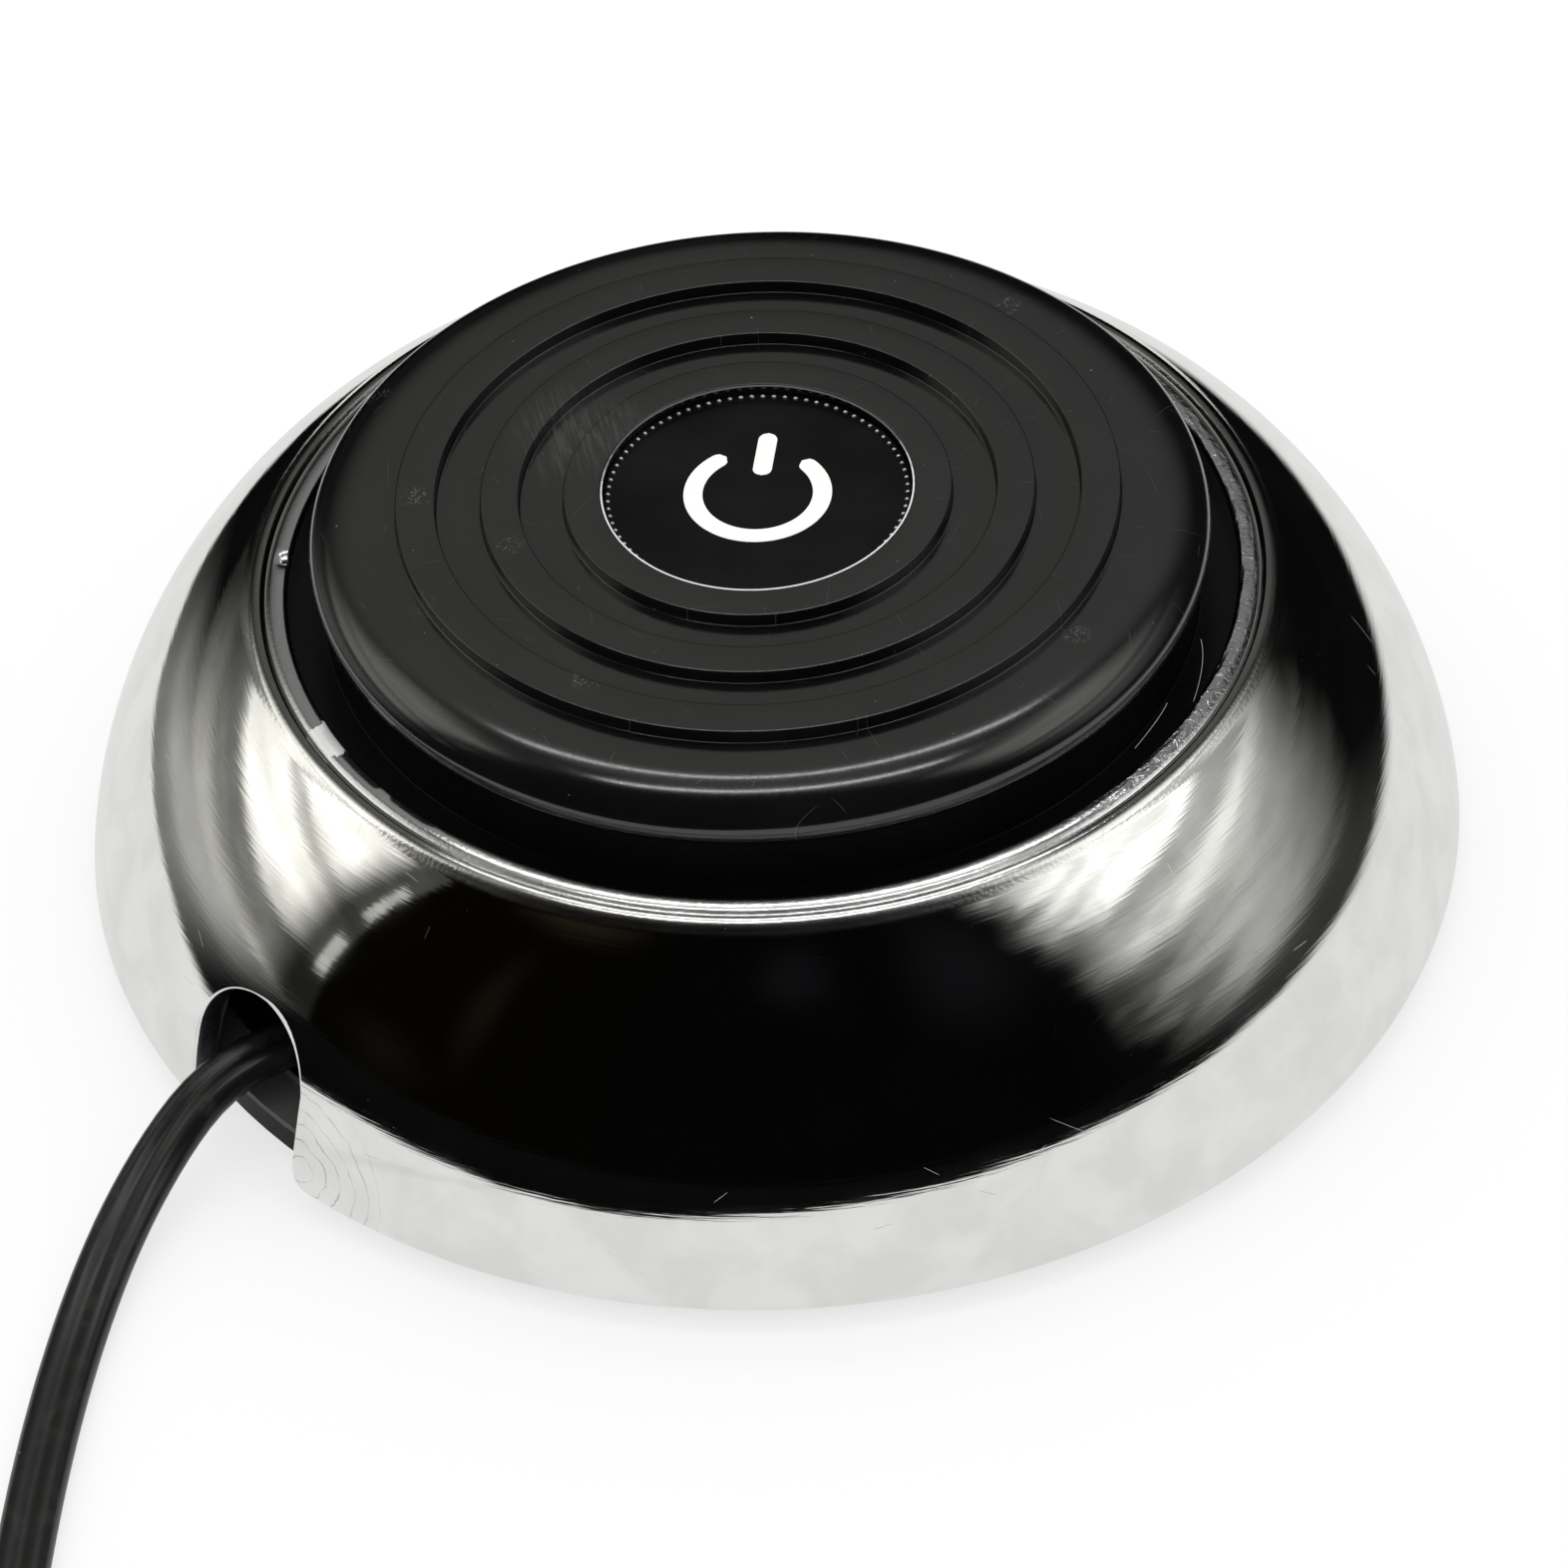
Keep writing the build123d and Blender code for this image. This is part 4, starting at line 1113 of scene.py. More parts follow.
    def boss(self, angle: float) -> np.ndarray:
        """Skin of one screw boss: a tube whose upper end follows the inner wall, sunk into it.

        Args:
            angle: its place round the axis, in radians.

        Returns:
            Points, rows by columns by three.
        """
        turn = np.linspace(0.0, 2 * math.pi, 32, endpoint=False)
        inner = self.inner()
        center = self.boss_pitch_r * np.array([math.cos(angle), math.sin(angle)])
        outside = center + self.boss_r * np.stack([np.cos(turn), np.sin(turn)], axis=1)
        hole = center + self.boss_hole_r * np.stack([np.cos(turn), np.sin(turn)], axis=1)
        roof = np.interp(np.hypot(*outside.T), inner[::-1, 0], inner[::-1, 1]) + self.boss_sunk
        depth = np.full(len(turn), self.boss_foot + self.boss_hole_d)
        foot = np.full(len(turn), self.boss_foot)
        middle = np.broadcast_to(center, hole.shape)
        rings = [(outside, roof), (outside, foot), (hole, foot), (hole, depth), (middle, depth)]
        return np.stack([np.column_stack([flat, z]) for flat, z in rings])

    def build(self) -> None:
        """Makes the housing, polished outside and raw inside."""
        draft = MeshDraft()
        skin, polished_rows = self.skin()
        draft.add_grid(skin[: polished_rows + 1], wrap=True)
        draft.add_grid(skin[polished_rows:], wrap=True, finish=1)
        for third in range(3):
            draft.add_grid(self.boss(2 * math.pi * third / 3), wrap=True, finish=1)
        for start, end in self.lint:
            draft.add_grid(self.fibre(start, end), wrap=True, finish=2)
        looks = [self.polish.material(), self.raw.material(), self.lint_finish.material()]
        piece = draft.build("housing_shell", looks)
        place(piece, Body.HOUSING, "housing", "housing")


@dataclass(frozen=True)
class Pedal:
    """The moulded cap: its outline turned round the axis, with the post, pegs and ribs under it."""

    recess_r: float = 10.44
    recess_z: float = 30.17
    raised_z: float = 31.17
    low_z: float = 30.25
    band_edges: tuple[float, ...] = (12.9, 15.84, 18.4, 21.4, 24.05)
    shoulder_r: float = 26.2
    wide_r: float = 30.0
    wide_z: float = 27.8
    edge_t: float = 0.7
    side_r: float = 29.3
    wall: float = 2.0
    flange_r: float = 33.0
    flange_z: Pair = (20.8, 22.4)
    ceiling_z: float = 27.85
    corner: float = 0.085
    post_r: float = 2.0
    post_tip_r: float = 3.0
    post_bottom: float = 23.563
    peg_r: float = 2.75
    peg_h: float = 3.0
    peg_pitch_r: float = 20.0
    rib_t: float = 1.6
    rib_h: float = 2.2
    rib_sunk: Pair = (0.25, 0.4)
    sunk: float = 0.5
    side_gap: float = 0.3
    columns: int = 300
    post_columns: int = 32
    plastic: Finish = WornPlastic(
        "worn_black_plastic",
        (0.0040, 0.0040, 0.0041),
        roughness=0.15,
        grain=0.2,
        grain_depth=0.0009,
        mottle=0.25,
        specular=0.9,
        scuffs=(
            (-17.2, 15.0, 31.2),
            (-11.5, 26.4, 30.1),
            (25.4, 3.3, 30.3),
            (6.0, -24.6, 30.3),
            (-3.0, -20.5, 31.2),
            (-23.6, 6.4, 31.1),
            (-15.7, 6.6, 31.2),
            (-20.6, -6.9, 31.1),
        ),
    )
    side_plastic: Finish = Finish("pedal_side", (0.003, 0.003, 0.003), 0.3, grain_depth=0.002, specular=0.12)

    def top(self) -> np.ndarray:
        """Outline over the top, from the axis out over the bands and the shoulder to the flange's edge."""
        outline = [(0.0, self.recess_z), (self.recess_r, self.recess_z), (self.recess_r, self.raised_z)]
        level = self.raised_z
        for edge in self.band_edges:
            outline.append((edge, level))
            level = self.low_z if level == self.raised_z else self.raised_z
            outline.append((edge, level))
        turn = np.linspace(math.pi / 2, 0.0, 40)
        shoulder_w = self.wide_r - self.shoulder_r
        shoulder_h = self.low_z - self.wide_z
        r = self.shoulder_r + shoulder_w * np.cos(turn)
        z = self.wide_z + shoulder_h * np.sin(turn)
        outline.extend(zip(r, z))
        outline.append((self.wide_r, self.wide_z - self.edge_t))
        outline.append((self.side_r, self.wide_z - self.edge_t - (self.wide_r - self.side_r)))
        outline.append((self.side_r, self.flange_z[1]))
        outline.append((self.flange_r, self.flange_z[1]))
        return thin(soften(outline, 0.02, self.corner), 8.0, 1.5)

    def underside(self) -> np.ndarray:
        """Outline of the flange's edge and the hollow under the cap, back to the axis."""
        hollow_r = self.side_r - self.wall
        return np.array(
            [
                (self.flange_r, self.flange_z[1]),
                (self.flange_r, self.flange_z[0]),
                (hollow_r, self.flange_z[0]),
                (hollow_r, self.ceiling_z),
                (0.0, self.ceiling_z),
            ]
        )

    def post(self) -> np.ndarray:
        """Outline of the post that pushes the lever, with its round tip."""
        drop = self.post_tip_r - math.sqrt(self.post_tip_r**2 - self.post_r**2)
        r = np.linspace(self.post_r, 0.0, 8)
        z = self.post_bottom + self.post_tip_r - np.sqrt(self.post_tip_r**2 - r**2)
        top = self.ceiling_z + self.sunk
        upper = [(0.0, top), (self.post_r, top), (self.post_r, self.post_bottom + drop)]
        return np.concatenate([upper, np.stack([r, z], axis=1)[1:]])

    def rib(self, angle: float) -> np.ndarray:
        """Skin of a rib: a box from the post to the side wall, sunk into both and into the ceiling.

        Args:
            angle: its direction in radians.

        Returns:
            Two closed rings and their two end points, rows by columns by three.
        """
        sideways, upwards = self.rib_sunk
        start, end = self.post_r - sideways, self.side_r - self.wall + sideways
        half = self.rib_t / 2
        corners = np.array([(-half, upwards), (half, upwards), (half, -self.rib_h), (-half, -self.rib_h)])
        rings = []
        for reach, size in ((start, 0.0), (start, 1.0), (end, 1.0), (end, 0.0)):
            across, up = (corners * size).T
            x = reach * math.cos(angle) - across * math.sin(angle)
            y = reach * math.sin(angle) + across * math.cos(angle)
            rings.append(np.stack([x, y, self.ceiling_z + up], axis=1))
        return np.array(rings)

    def build(self) -> None:
        """Makes the pedal cap with everything moulded on it."""
        draft = MeshDraft()
        top = self.top()
        side = int(np.argmax(top[:, 1] < self.wide_z - self.edge_t - self.side_gap))
        draft.add_grid(revolve(top[: side + 1], self.columns), wrap=True)
        draft.add_grid(revolve(top[side:], self.columns), wrap=True, finish=1)
        draft.add_grid(revolve(self.underside(), self.columns), wrap=True)
        draft.add_grid(revolve(self.post(), self.post_columns), wrap=True)
        low = -self.peg_h
        peg = np.array([(0.0, self.sunk), (self.peg_r, self.sunk), (self.peg_r, low), (0.0, low)])
        for third in range(3):
            angle = 2 * math.pi * third / 3
            center = (self.peg_pitch_r * math.cos(angle), self.peg_pitch_r * math.sin(angle))
            draft.add_grid(revolve(peg + (0.0, self.ceiling_z), self.post_columns, center), wrap=True)
            draft.add_grid(self.rib(angle + math.pi / 3), wrap=True)
        piece = draft.build("pedal_cap", [self.plastic.material(), self.side_plastic.material()])
        place(piece, Body.PEDAL, "pedal", "pedal")


@dataclass(frozen=True)
class Badge:
    """The disc in the recess: its print, a ring of silver beads and a plain power sign."""

    radius: float = 10.32
    bottom: float = 30.17
    thickness: float = 0.35
    bevel: float = 0.09
    bead_pitch_r: float = 9.96
    bead_r: float = 0.17
    bead_count: int = 84
    rim_r: float = 10.36
    rim_z: float = 31.1
    rim_t: float = 0.12
    sign_r: float = 4.3
    sign_line: float = 1.3
    sign_gap: float = 36.0
    sunk: float = 0.01
    ink_slope: float = 0.94
    columns: int = 180
    rim_columns: int = 240
    bar: Pair = (1.8, 6.1)
    sign_up: float = 42.0
    ink_t: float = 0.03
    print_finish: Finish = Finish(
        "badge_print", (0.0045, 0.0042, 0.0042), roughness=0.2, grain_depth=0.0008, mottle=0.5, specular=0.12
    )
    silver: Finish = Finish("silver_beads", (0.92, 0.90, 0.90), 0.38, metallic=1.0, grain_depth=0.002)
    rim_finish: Finish = SideLitSilver("silver_rim", (0.9, 0.89, 0.9), roughness=0.35, grain_depth=0.004)
    ink: Finish = Finish("white_ink", (0.9, 0.9, 0.89), 0.35, grain=0.2, grain_depth=0.004, mottle=0.03)

    @property
    def top(self) -> float:
        """Height of the print."""
        return self.bottom + self.thickness

    def disc(self) -> np.ndarray:
        """Outline of the disc, over its top, its bevel and its underside."""
        return np.array(
            [
                (0.0, self.top),
                (self.radius * 0.6, self.top),
                (self.radius - self.bevel * 1.6, self.top),
                (self.radius - self.bevel * 0.5, self.top - self.bevel * 0.35),
                (self.radius, self.top - self.bevel * 1.2),
                (self.radius, self.bottom),
                (0.0, self.bottom),
            ]
        )

    def rim(self) -> np.ndarray:
        """Outline of the thin silver ring at the recess's edge, a closed round."""
        turn = np.linspace(0.0, 2 * math.pi, 9)
        half = self.rim_t / 2
        return np.stack([self.rim_r + half * np.cos(turn), self.rim_z + half * np.sin(turn)], axis=1)

    def beads(self) -> list[np.ndarray]:
        """Half spheres on a circle, each a small grid of latitude and longitude."""
        rise = np.linspace(math.pi / 2, 0.0, 4)[:, None]
        turn = np.linspace(0.0, 2 * math.pi, 8, endpoint=False)
        dome = np.stack(
            [
                self.bead_r * np.cos(rise) * np.cos(turn),
                self.bead_r * np.cos(rise) * np.sin(turn),
                self.bead_r * 0.7 * np.sin(rise) * np.ones_like(turn),
            ],
            axis=-1,
        )
        places = np.linspace(0.0, 2 * math.pi, self.bead_count, endpoint=False)
        centers = np.stack(
            [
                self.bead_pitch_r * np.cos(places),
                self.bead_pitch_r * np.sin(places),
                np.full(self.bead_count, self.top - self.sunk),
            ],
            axis=1,
        )
        return [dome + center for center in centers]

    def strip(self, line: np.ndarray) -> np.ndarray:
        """Raised ink along a flat line: its width is the sign's line, its ends are half round.

        Args:
            line: the line's points, as x and y.

        Returns:
            Four rows of points: lower and upper edge on one side, upper and lower on the other.
        """
        run = unit(np.gradient(line, axis=0))
        along = run_length(line)
        to_end = np.minimum(along, along[-1] - along)
        half = self.sign_line / 2
        width = np.sqrt(np.clip(half**2 - np.clip(half - to_end, 0.0, half) ** 2, 1e-6, None))
        side = np.stack([-run[:, 1], run[:, 0]], axis=1) * width[:, None]
        low, high = self.top - self.sunk, self.top + self.ink_t
        inner = side * self.ink_slope
        rows = [(line + side, low), (line + inner, high), (line - inner, high), (line - side, low)]
        return np.stack([np.column_stack([flat, np.full(len(line), z)]) for flat, z in rows])

    def sign(self) -> list[np.ndarray]:
        """The power sign: an open ring and a bar through its gap, turned to its upright direction."""
        up = math.radians(self.sign_up)
        gap = math.radians(self.sign_gap)
        turn = up + np.linspace(gap, 2 * math.pi - gap, 90)
        ring = self.sign_r * np.stack([np.cos(turn), np.sin(turn)], axis=1)
        reach = np.linspace(self.bar[0], self.bar[1], 40)
        bar = reach[:, None] * np.array([[math.cos(up), math.sin(up)]])
        return [self.strip(ring), self.strip(bar)]

    def build(self) -> None:
        """Makes the disc, the beads, the rim and the sign."""
        pieces = (
            ("badge_disc", [revolve(self.disc(), self.columns)], True, self.print_finish, 80.0, ("badge",)),
            ("badge_beads", self.beads(), True, self.silver, 50.0, ()),
            ("badge_rim", [revolve(self.rim(), self.rim_columns)], True, self.rim_finish, 50.0, ()),
            ("badge_sign", self.sign(), False, self.ink, 30.0, ()),
        )
        for name, grids, wrap, finish, sharp, nodes in pieces:
            draft = MeshDraft()
            for grid in grids:
                draft.add_grid(grid, wrap)
            place(draft.build(name, [finish.material()], sharp), Body.PEDAL, "badge", *nodes)


@dataclass(frozen=True)
class Cord:
    """The flat two-core cord: a section of two joined rounds carried along a smooth route.

    The route leaves the clamp, passes the notch, falls to the floor, is wound into a neat coil of
    layers, and goes from the coil's top to the plug.
    """

    width: float = 3.7
    thickness: float = 1.95
    web: float = 1.5
    route: tuple[Triple, ...] = (
        (-28.0, 0.0, 6.7),
        (-38.0, 0.0, 6.7),
        (-46.0, 2.2, 6.7),
        (-53.6, 1.0, 3.2),
        (-62.6, -4.0, 0.975),
        (-74.5, -14.4, 0.975),
        (-88.0, -28.6, 0.975),
        (-103.4, -46.4, 0.975),
        (-114.0, -56.2, 0.975),
    )
    tail: tuple[Triple, ...] = (
        (-149.2, -27.0, 7.15),
        (-146.4, -17.5, 7.1),
        (-141.0, -8.6, 6.5),
        (-139.8, -5.6, 6.25),
        (-139.1, -3.0, 6.25),
    )
    exit: Triple = (-45.5, 2.0, 6.7)
    coil_center: Pair = (-125.0, -34.0)
    ring_r: tuple[float, ...] = (24.5, 20.5, 16.5, 16.5, 20.5, 24.5, 24.5, 20.5, 16.5, 16.5, 20.5, 24.5)
    layer_of_ring: tuple[int, ...] = (0, 0, 0, 1, 1, 1, 2, 2, 2, 3, 3, 3)
    layer_pitch: float = 2.05
    coil_start: float = -78.0
    coil_end: float = 104.0
    cross_at: Pair = (258.0, 296.0)
    climb_at: Pair = (300.0, 338.0)
    points_per_turn: int = 24
    ring_gap: float = 1.35
    join: float = 8.0
    sheath: Finish = CordSheath("cord_sheath", (0.006, 0.006, 0.006), 0.33, grain=0.12, grain_depth=0.002)

    def coil(self) -> np.ndarray:
        """Control points of the coil's turns.

        A turn keeps its ring's radius and its layer's height, moves to the next radius within one
        range of the turn's angle, and climbs to the next layer within the range after it.

        Returns:
            Points, one row each.
        """
        last = len(self.ring_r) - 1
        total = 360.0 * last + self.coil_end
        travelled = np.arange(0.0, total, 360.0 / self.points_per_turn)
        ring = np.minimum((travelled // 360.0).astype(int), last)
        after = np.minimum(ring + 1, last)
        within = travelled % 360.0
        radii, layers = np.array(self.ring_r), np.array(self.layer_of_ring, float)
        across = smooth_step(within, *self.cross_at)
        climb = smooth_step(within, *self.climb_at)
        r = radii[ring] + (radii[after] - radii[ring]) * across
        z = self.thickness / 2 + self.layer_pitch * (layers[ring] + (layers[after] - layers[ring]) * climb)
        angle = np.radians(self.coil_start - travelled)
        x = self.coil_center[0] + r * np.cos(angle)
        y = self.coil_center[1] + r * np.sin(angle)
        return np.stack([x, y, z], axis=1)

    def path(self) -> np.ndarray:
        """Points along the NURBS spline whose control points are the route, the coil and the tail.

        Returns:
            Points in millimetres, evenly spaced.
        """
        control = np.concatenate([self.route, self.coil(), self.tail])
        curve = bpy.data.curves.new("cord_route", "CURVE")
        curve.dimensions = "3D"
        spline = curve.splines.new("NURBS")
        spline.points.add(len(control) - 1)
        weighted = np.column_stack([control * MM, np.ones(len(control))])
        spline.points.foreach_set("co", weighted.ravel())
        spline.order_u = 3
        spline.use_endpoint_u = True
        spline.resolution_u = 8
        holder = bpy.data.objects.new("cord_route", curve)
        bpy.context.scene.collection.objects.link(holder)
        bpy.context.view_layer.update()
        mesh = bpy.data.meshes.new_from_object(holder)
        read = np.zeros(len(mesh.vertices) * 3)
        mesh.vertices.foreach_get("co", read)
        bpy.data.objects.remove(holder)
        bpy.data.curves.remove(curve)
        bpy.data.meshes.remove(mesh)
        line = read.reshape(-1, 3) / MM
        return spread(line, int(run_length(line)[-1] / self.ring_gap) + 1)

    def section(self) -> np.ndarray:
        """Outline of the flat section: two rounds side by side, with a web between them.

        Half the height at a distance x from the middle is that of the nearer round, and never less
        than half the web, and the two pass smoothly into each other.

        Returns:
            Points across and up, one row each.
        """
        turn = np.linspace(0.0, 2 * math.pi, 40, endpoint=False)
        across = self.width / 2 * np.cos(turn)
        round_r = self.thickness / 2
        off = np.abs(across) - (self.width / 2 - round_r)
        lobe = np.sqrt(np.clip(round_r**2 - off**2, 0.0, None))
        web = self.web / 2 * (np.abs(across) < self.width / 2 - round_r)
        height = (lobe**self.join + web**self.join) ** (1 / self.join)
        return np.stack([across, np.sign(np.sin(turn)) * height], axis=1)

    def skin(self, path: np.ndarray) -> np.ndarray:
        """Carries the section along the path and closes both ends.

        Each ring lies across the path: its flat side is level, and its other side is square to both.

        Args:
            path: points along the middle of the cord.

        Returns:
            Points, rows by columns by three.
        """
        run = unit(np.gradient(path, axis=0))
        level = unit(np.cross((0.0, 0.0, 1.0), run))
        up = np.cross(run, level)
        section = self.section()
        rings = path[:, None] + section[:, 0, None] * level[:, None] + section[:, 1, None] * up[:, None]
        ends = [np.repeat(path[end][None, None], rings.shape[1], axis=1) for end in (0, -1)]
        return np.concatenate([ends[0], rings, ends[1]])

    def build(self, plug: Sequence[bpy.types.Object]) -> None:
        """Args:
            plug: the pieces on its far end.
        """
        path = self.path()
        draft = MeshDraft()
        draft.add_grid(self.skin(path), wrap=True)
        piece = draft.build("cord_sheath", [self.sheath.material()], 60.0)
        place(piece, Body.HOUSING, "cord", "cord", "coil", "cord_tail")
        for part in (piece, *plug):
            part.visible_glossy = False


@dataclass(frozen=True)
class JackPlug:
    """The 6.35 mm plug: outlines turned round its own level axis, from the boot to the tip."""

    start: Triple = (-139.1, -3.0, 6.25)
    direction: Triple = (0.257663, 0.966235, 0.0)
    boot_l: float = 11.0
    boot_r: Pair = (2.6, 3.4)
    boot_grooves: int = 4
    handle_l: float = 30.0
    handle_r: Pair = (4.6, 6.25)
    taper_l: float = 8.0
    grip_ribs: int = 30
    grip_depth: float = 0.12
    grip_rise: float = 2.0
    grip_end: Pair = (4.0, 2.5)
    groove_d: float = 0.55
    sleeve_l: float = 22.0
    sleeve_r: float = 3.175
    insulator_l: float = 1.2
    insulator_r: float = 2.7
    tip_l: float = 7.3
    columns: int = 96
    grip_columns: int = 240
    tip_r: float = 2.9
    neck_r: float = 2.1
    rubber: Finish = Finish("boot_rubber", (0.018, 0.018, 0.018), roughness=0.5, grain_depth=0.006, dust=0.1)
    grip: Finish = Finish(
        "handle_plastic", (0.016, 0.016, 0.017), 0.3, grain=0.2, grain_depth=0.003, dust=0.08
    )
    nickel: Finish = metal("nickel", (0.78, 0.76, 0.72), roughness=0.12, grain=0.5, grain_depth=0.0015)
    ring: Finish = Finish("insulator", (0.02, 0.02, 0.021), roughness=0.45)

    def turned(self, outline: np.ndarray, columns: int, ribs: float) -> np.ndarray:
        """Grid of an outline turned round the plug's axis.

        Args:
            outline: distance along the axis and radius, one row each.
            columns: points in a turn.
            ribs: depth of the lengthwise ribs, a cosine of the angle that fades at the outline's ends.

        Returns:
            Points, rows by columns by three.
        """
        axis = np.array(self.direction)
        side = np.cross(axis, (0.0, 0.0, 1.0))
        turn = np.linspace(0.0, 2 * math.pi, columns, endpoint=False)
        along, radius = outline[:, :1], outline[:, 1:]
        start, end = self.boot_l + self.taper_l, self.boot_l + self.handle_l
        far, near = self.grip_end
        zone = plateau(along, (start, start + self.grip_rise), (end - far, end - near))
        radius = radius - ribs * zone * (0.5 + 0.5 * np.cos(self.grip_ribs * turn))
        ring = side * np.cos(turn)[:, None] + np.array([0.0, 0.0, 1.0]) * np.sin(turn)[:, None]
        return np.array(self.start) + axis * along[..., None] + ring * radius[..., None]

    def outlines(self) -> dict[str, np.ndarray]:
        """Outlines of the plug's pieces, by the CAD node that each replaces."""
        grooves = np.linspace(0.0, self.boot_l, 80)
        slope = self.boot_r[0] + (self.boot_r[1] - self.boot_r[0]) * grooves / self.boot_l
        pitch = self.boot_l / (self.boot_grooves + 1)
        cut = self.groove_d * np.clip(np.cos(2 * math.pi * (grooves / pitch)) - 0.2, 0.0, None) ** 0.5
        cut *= (grooves > pitch / 2) & (grooves < self.boot_l - pitch / 2)
        boot = np.stack([grooves, slope - cut], axis=1)
        at = self.boot_l
        end = at + self.handle_l
        small, large = self.handle_r
        handle = [(at, 0.0), (at, small), (at + self.taper_l, large), (end, large), (end, 0.0)]
        sleeve_end = end + self.sleeve_l
        sleeve = [(end, 0.0), (end, self.sleeve_r), (sleeve_end, self.sleeve_r), (sleeve_end, 0.0)]
        tip_at = sleeve_end + self.insulator_l
        ring_r = self.insulator_r
        insulator = [(sleeve_end, 0.0), (sleeve_end, ring_r), (tip_at, ring_r), (tip_at, 0.0)]
        tip = [
            (tip_at, 0.0),
            (tip_at, self.tip_r),
            (tip_at + 0.12 * self.tip_l, self.tip_r),
            (tip_at + 0.35 * self.tip_l, self.neck_r),
            (tip_at + 0.6 * self.tip_l, self.tip_r - 0.1),
            (tip_at + 0.9 * self.tip_l, 1.0),
            (tip_at + self.tip_l, 0.0),
        ]
        return {
            "plug_boot": np.concatenate([[(0.0, 0.0)], boot, [(self.boot_l, 0.0)]]),
            "plug_handle": thin(soften(handle, 0.03, 0.3), 8.0, 1.0),
            "plug_sleeve": thin(soften(sleeve, 0.02, 0.08), 8.0, 2.0),
            "plug_insulator": thin(soften(insulator, 0.02, 0.05), 10.0, 1.0),
            "plug_tip": thin(soften(tip, 0.02, 0.16), 6.0, 0.5),
        }

    def build(self) -> list[bpy.types.Object]:
        """Makes the plug's five pieces.

        Returns:
            The pieces, which the cord hides from glossy rays.
        """
        nickel = self.nickel.material()
        looks = {
            "plug_boot": (self.rubber.material(), "plug_boot"),
            "plug_handle": (self.grip.material(), "plug_handle"),
            "plug_sleeve": (nickel, "plug_metal"),
            "plug_insulator": (self.ring.material(), "plug_insulator"),
            "plug_tip": (nickel, "plug_metal"),
        }
        pieces = []
        for node, outline in self.outlines().items():
            draft = MeshDraft()
            ribs = self.grip_depth if node == "plug_handle" else 0.0
            columns = self.grip_columns if ribs else self.columns
            draft.add_grid(self.turned(outline, columns, ribs), wrap=True)
            piece = draft.build(f"{node}_turned", [looks[node][0]], 40.0)
            place(piece, Body.HOUSING, looks[node][1], node)
            pieces.append(piece)
        return pieces


@dataclass(frozen=True)
class InnerWorks:
    """Finishes of the CAD nodes that stay: the base, feet, springs, switch, bracket and fasteners.

    Each spring gets a mesh of its own.
    """

    spring_foot: float = 6.7
    spring_top: float = 27.85
    press: float = 2.5
    base: Finish = LitLedgePlastic("base_plastic", (0.004, 0.004, 0.004), 0.3, grain_depth=0.003, specular=0.05)
    rubber: Finish = Finish("foot_rubber", (0.022, 0.022, 0.022), 0.75, grain=0.18, grain_depth=0.01)
    zinc: Finish = metal("zinc_plate", (0.6, 0.6, 0.6), roughness=0.32, grain=0.3, grain_depth=0.003)
    wire: Finish = metal("spring_wire", (0.5, 0.5, 0.51), roughness=0.28, grain=0.1, grain_depth=0.002)
    switch: Finish = Finish("switch_plastic", (0.035, 0.035, 0.04), 0.55, grain=0.15, grain_depth=0.006)
    red: Finish = Finish("red_plastic", (0.42, 0.035, 0.028), 0.42, grain=0.2, grain_depth=0.003)
    strip: Finish = metal("rolled_strip", (0.62, 0.62, 0.61), roughness=0.25, grain=0.12, grain_depth=0.002)
    brass: Finish = metal("brass", (0.68, 0.52, 0.24), roughness=0.3, grain=0.2, grain_depth=0.002)
    clamp: Finish = Finish("clamp_plastic", (0.02, 0.02, 0.02), 0.5, grain=0.2, grain_depth=0.005)
    core_red: Finish = Finish("core_red", (0.4, 0.03, 0.025), 0.35, grain=0.3, grain_depth=0.001)
    core_black: Finish = Finish("core_black", (0.02, 0.02, 0.02), 0.35, grain=0.3, grain_depth=0.001)

    def dressed(self) -> dict[str, Finish]:
        """The finish of each CAD node that stays shown."""
        looks = {
            "base": self.base,
            "switch_body": self.switch,
            "plunger": self.red,
            "lever": self.strip,
            "lever_pin": self.wire,
            "clamp_bar": self.clamp,
            "core_a": self.core_red,
            "core_b": self.core_black,
        }
        looks.update({f"{part}_screws": self.zinc for part in ("base", "bracket", "switch", "clamp")})
        looks.update(dict.fromkeys(("bracket", "switch_nuts"), self.zinc))
        looks.update({f"terminal_{kind}": self.brass for kind in ("common", "open", "closed")})
        looks.update({f"foot_{number}": self.rubber for number in (1, 2, 3, 4)})
        looks.update({f"spring_{number}": self.wire for number in (1, 2, 3)})
        return looks

    def build(self) -> None:
        """Gives every shown CAD node its material, made once for each finish."""
        made: dict[str, bpy.types.Material] = {}
        for node, finish in self.dressed().items():
            if finish.name not in made:
                made[finish.name] = finish.material()
            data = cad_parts[node].data
            data.materials.clear()
            data.materials.append(made[finish.name])
            log.info("%s is dressed as %s", node, finish.name)
        for number in (1, 2, 3):
            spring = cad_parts[f"spring_{number}"]
            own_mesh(spring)


@dataclass(frozen=True)
class Glow:
    """A soft oval patch of light or shade on the tent's cloth.

    Its place and half size are in degrees round and up, and its strength is the light in its middle.
    """

    around: float
    high: float
    wide: float
    tall: float
    strength: float


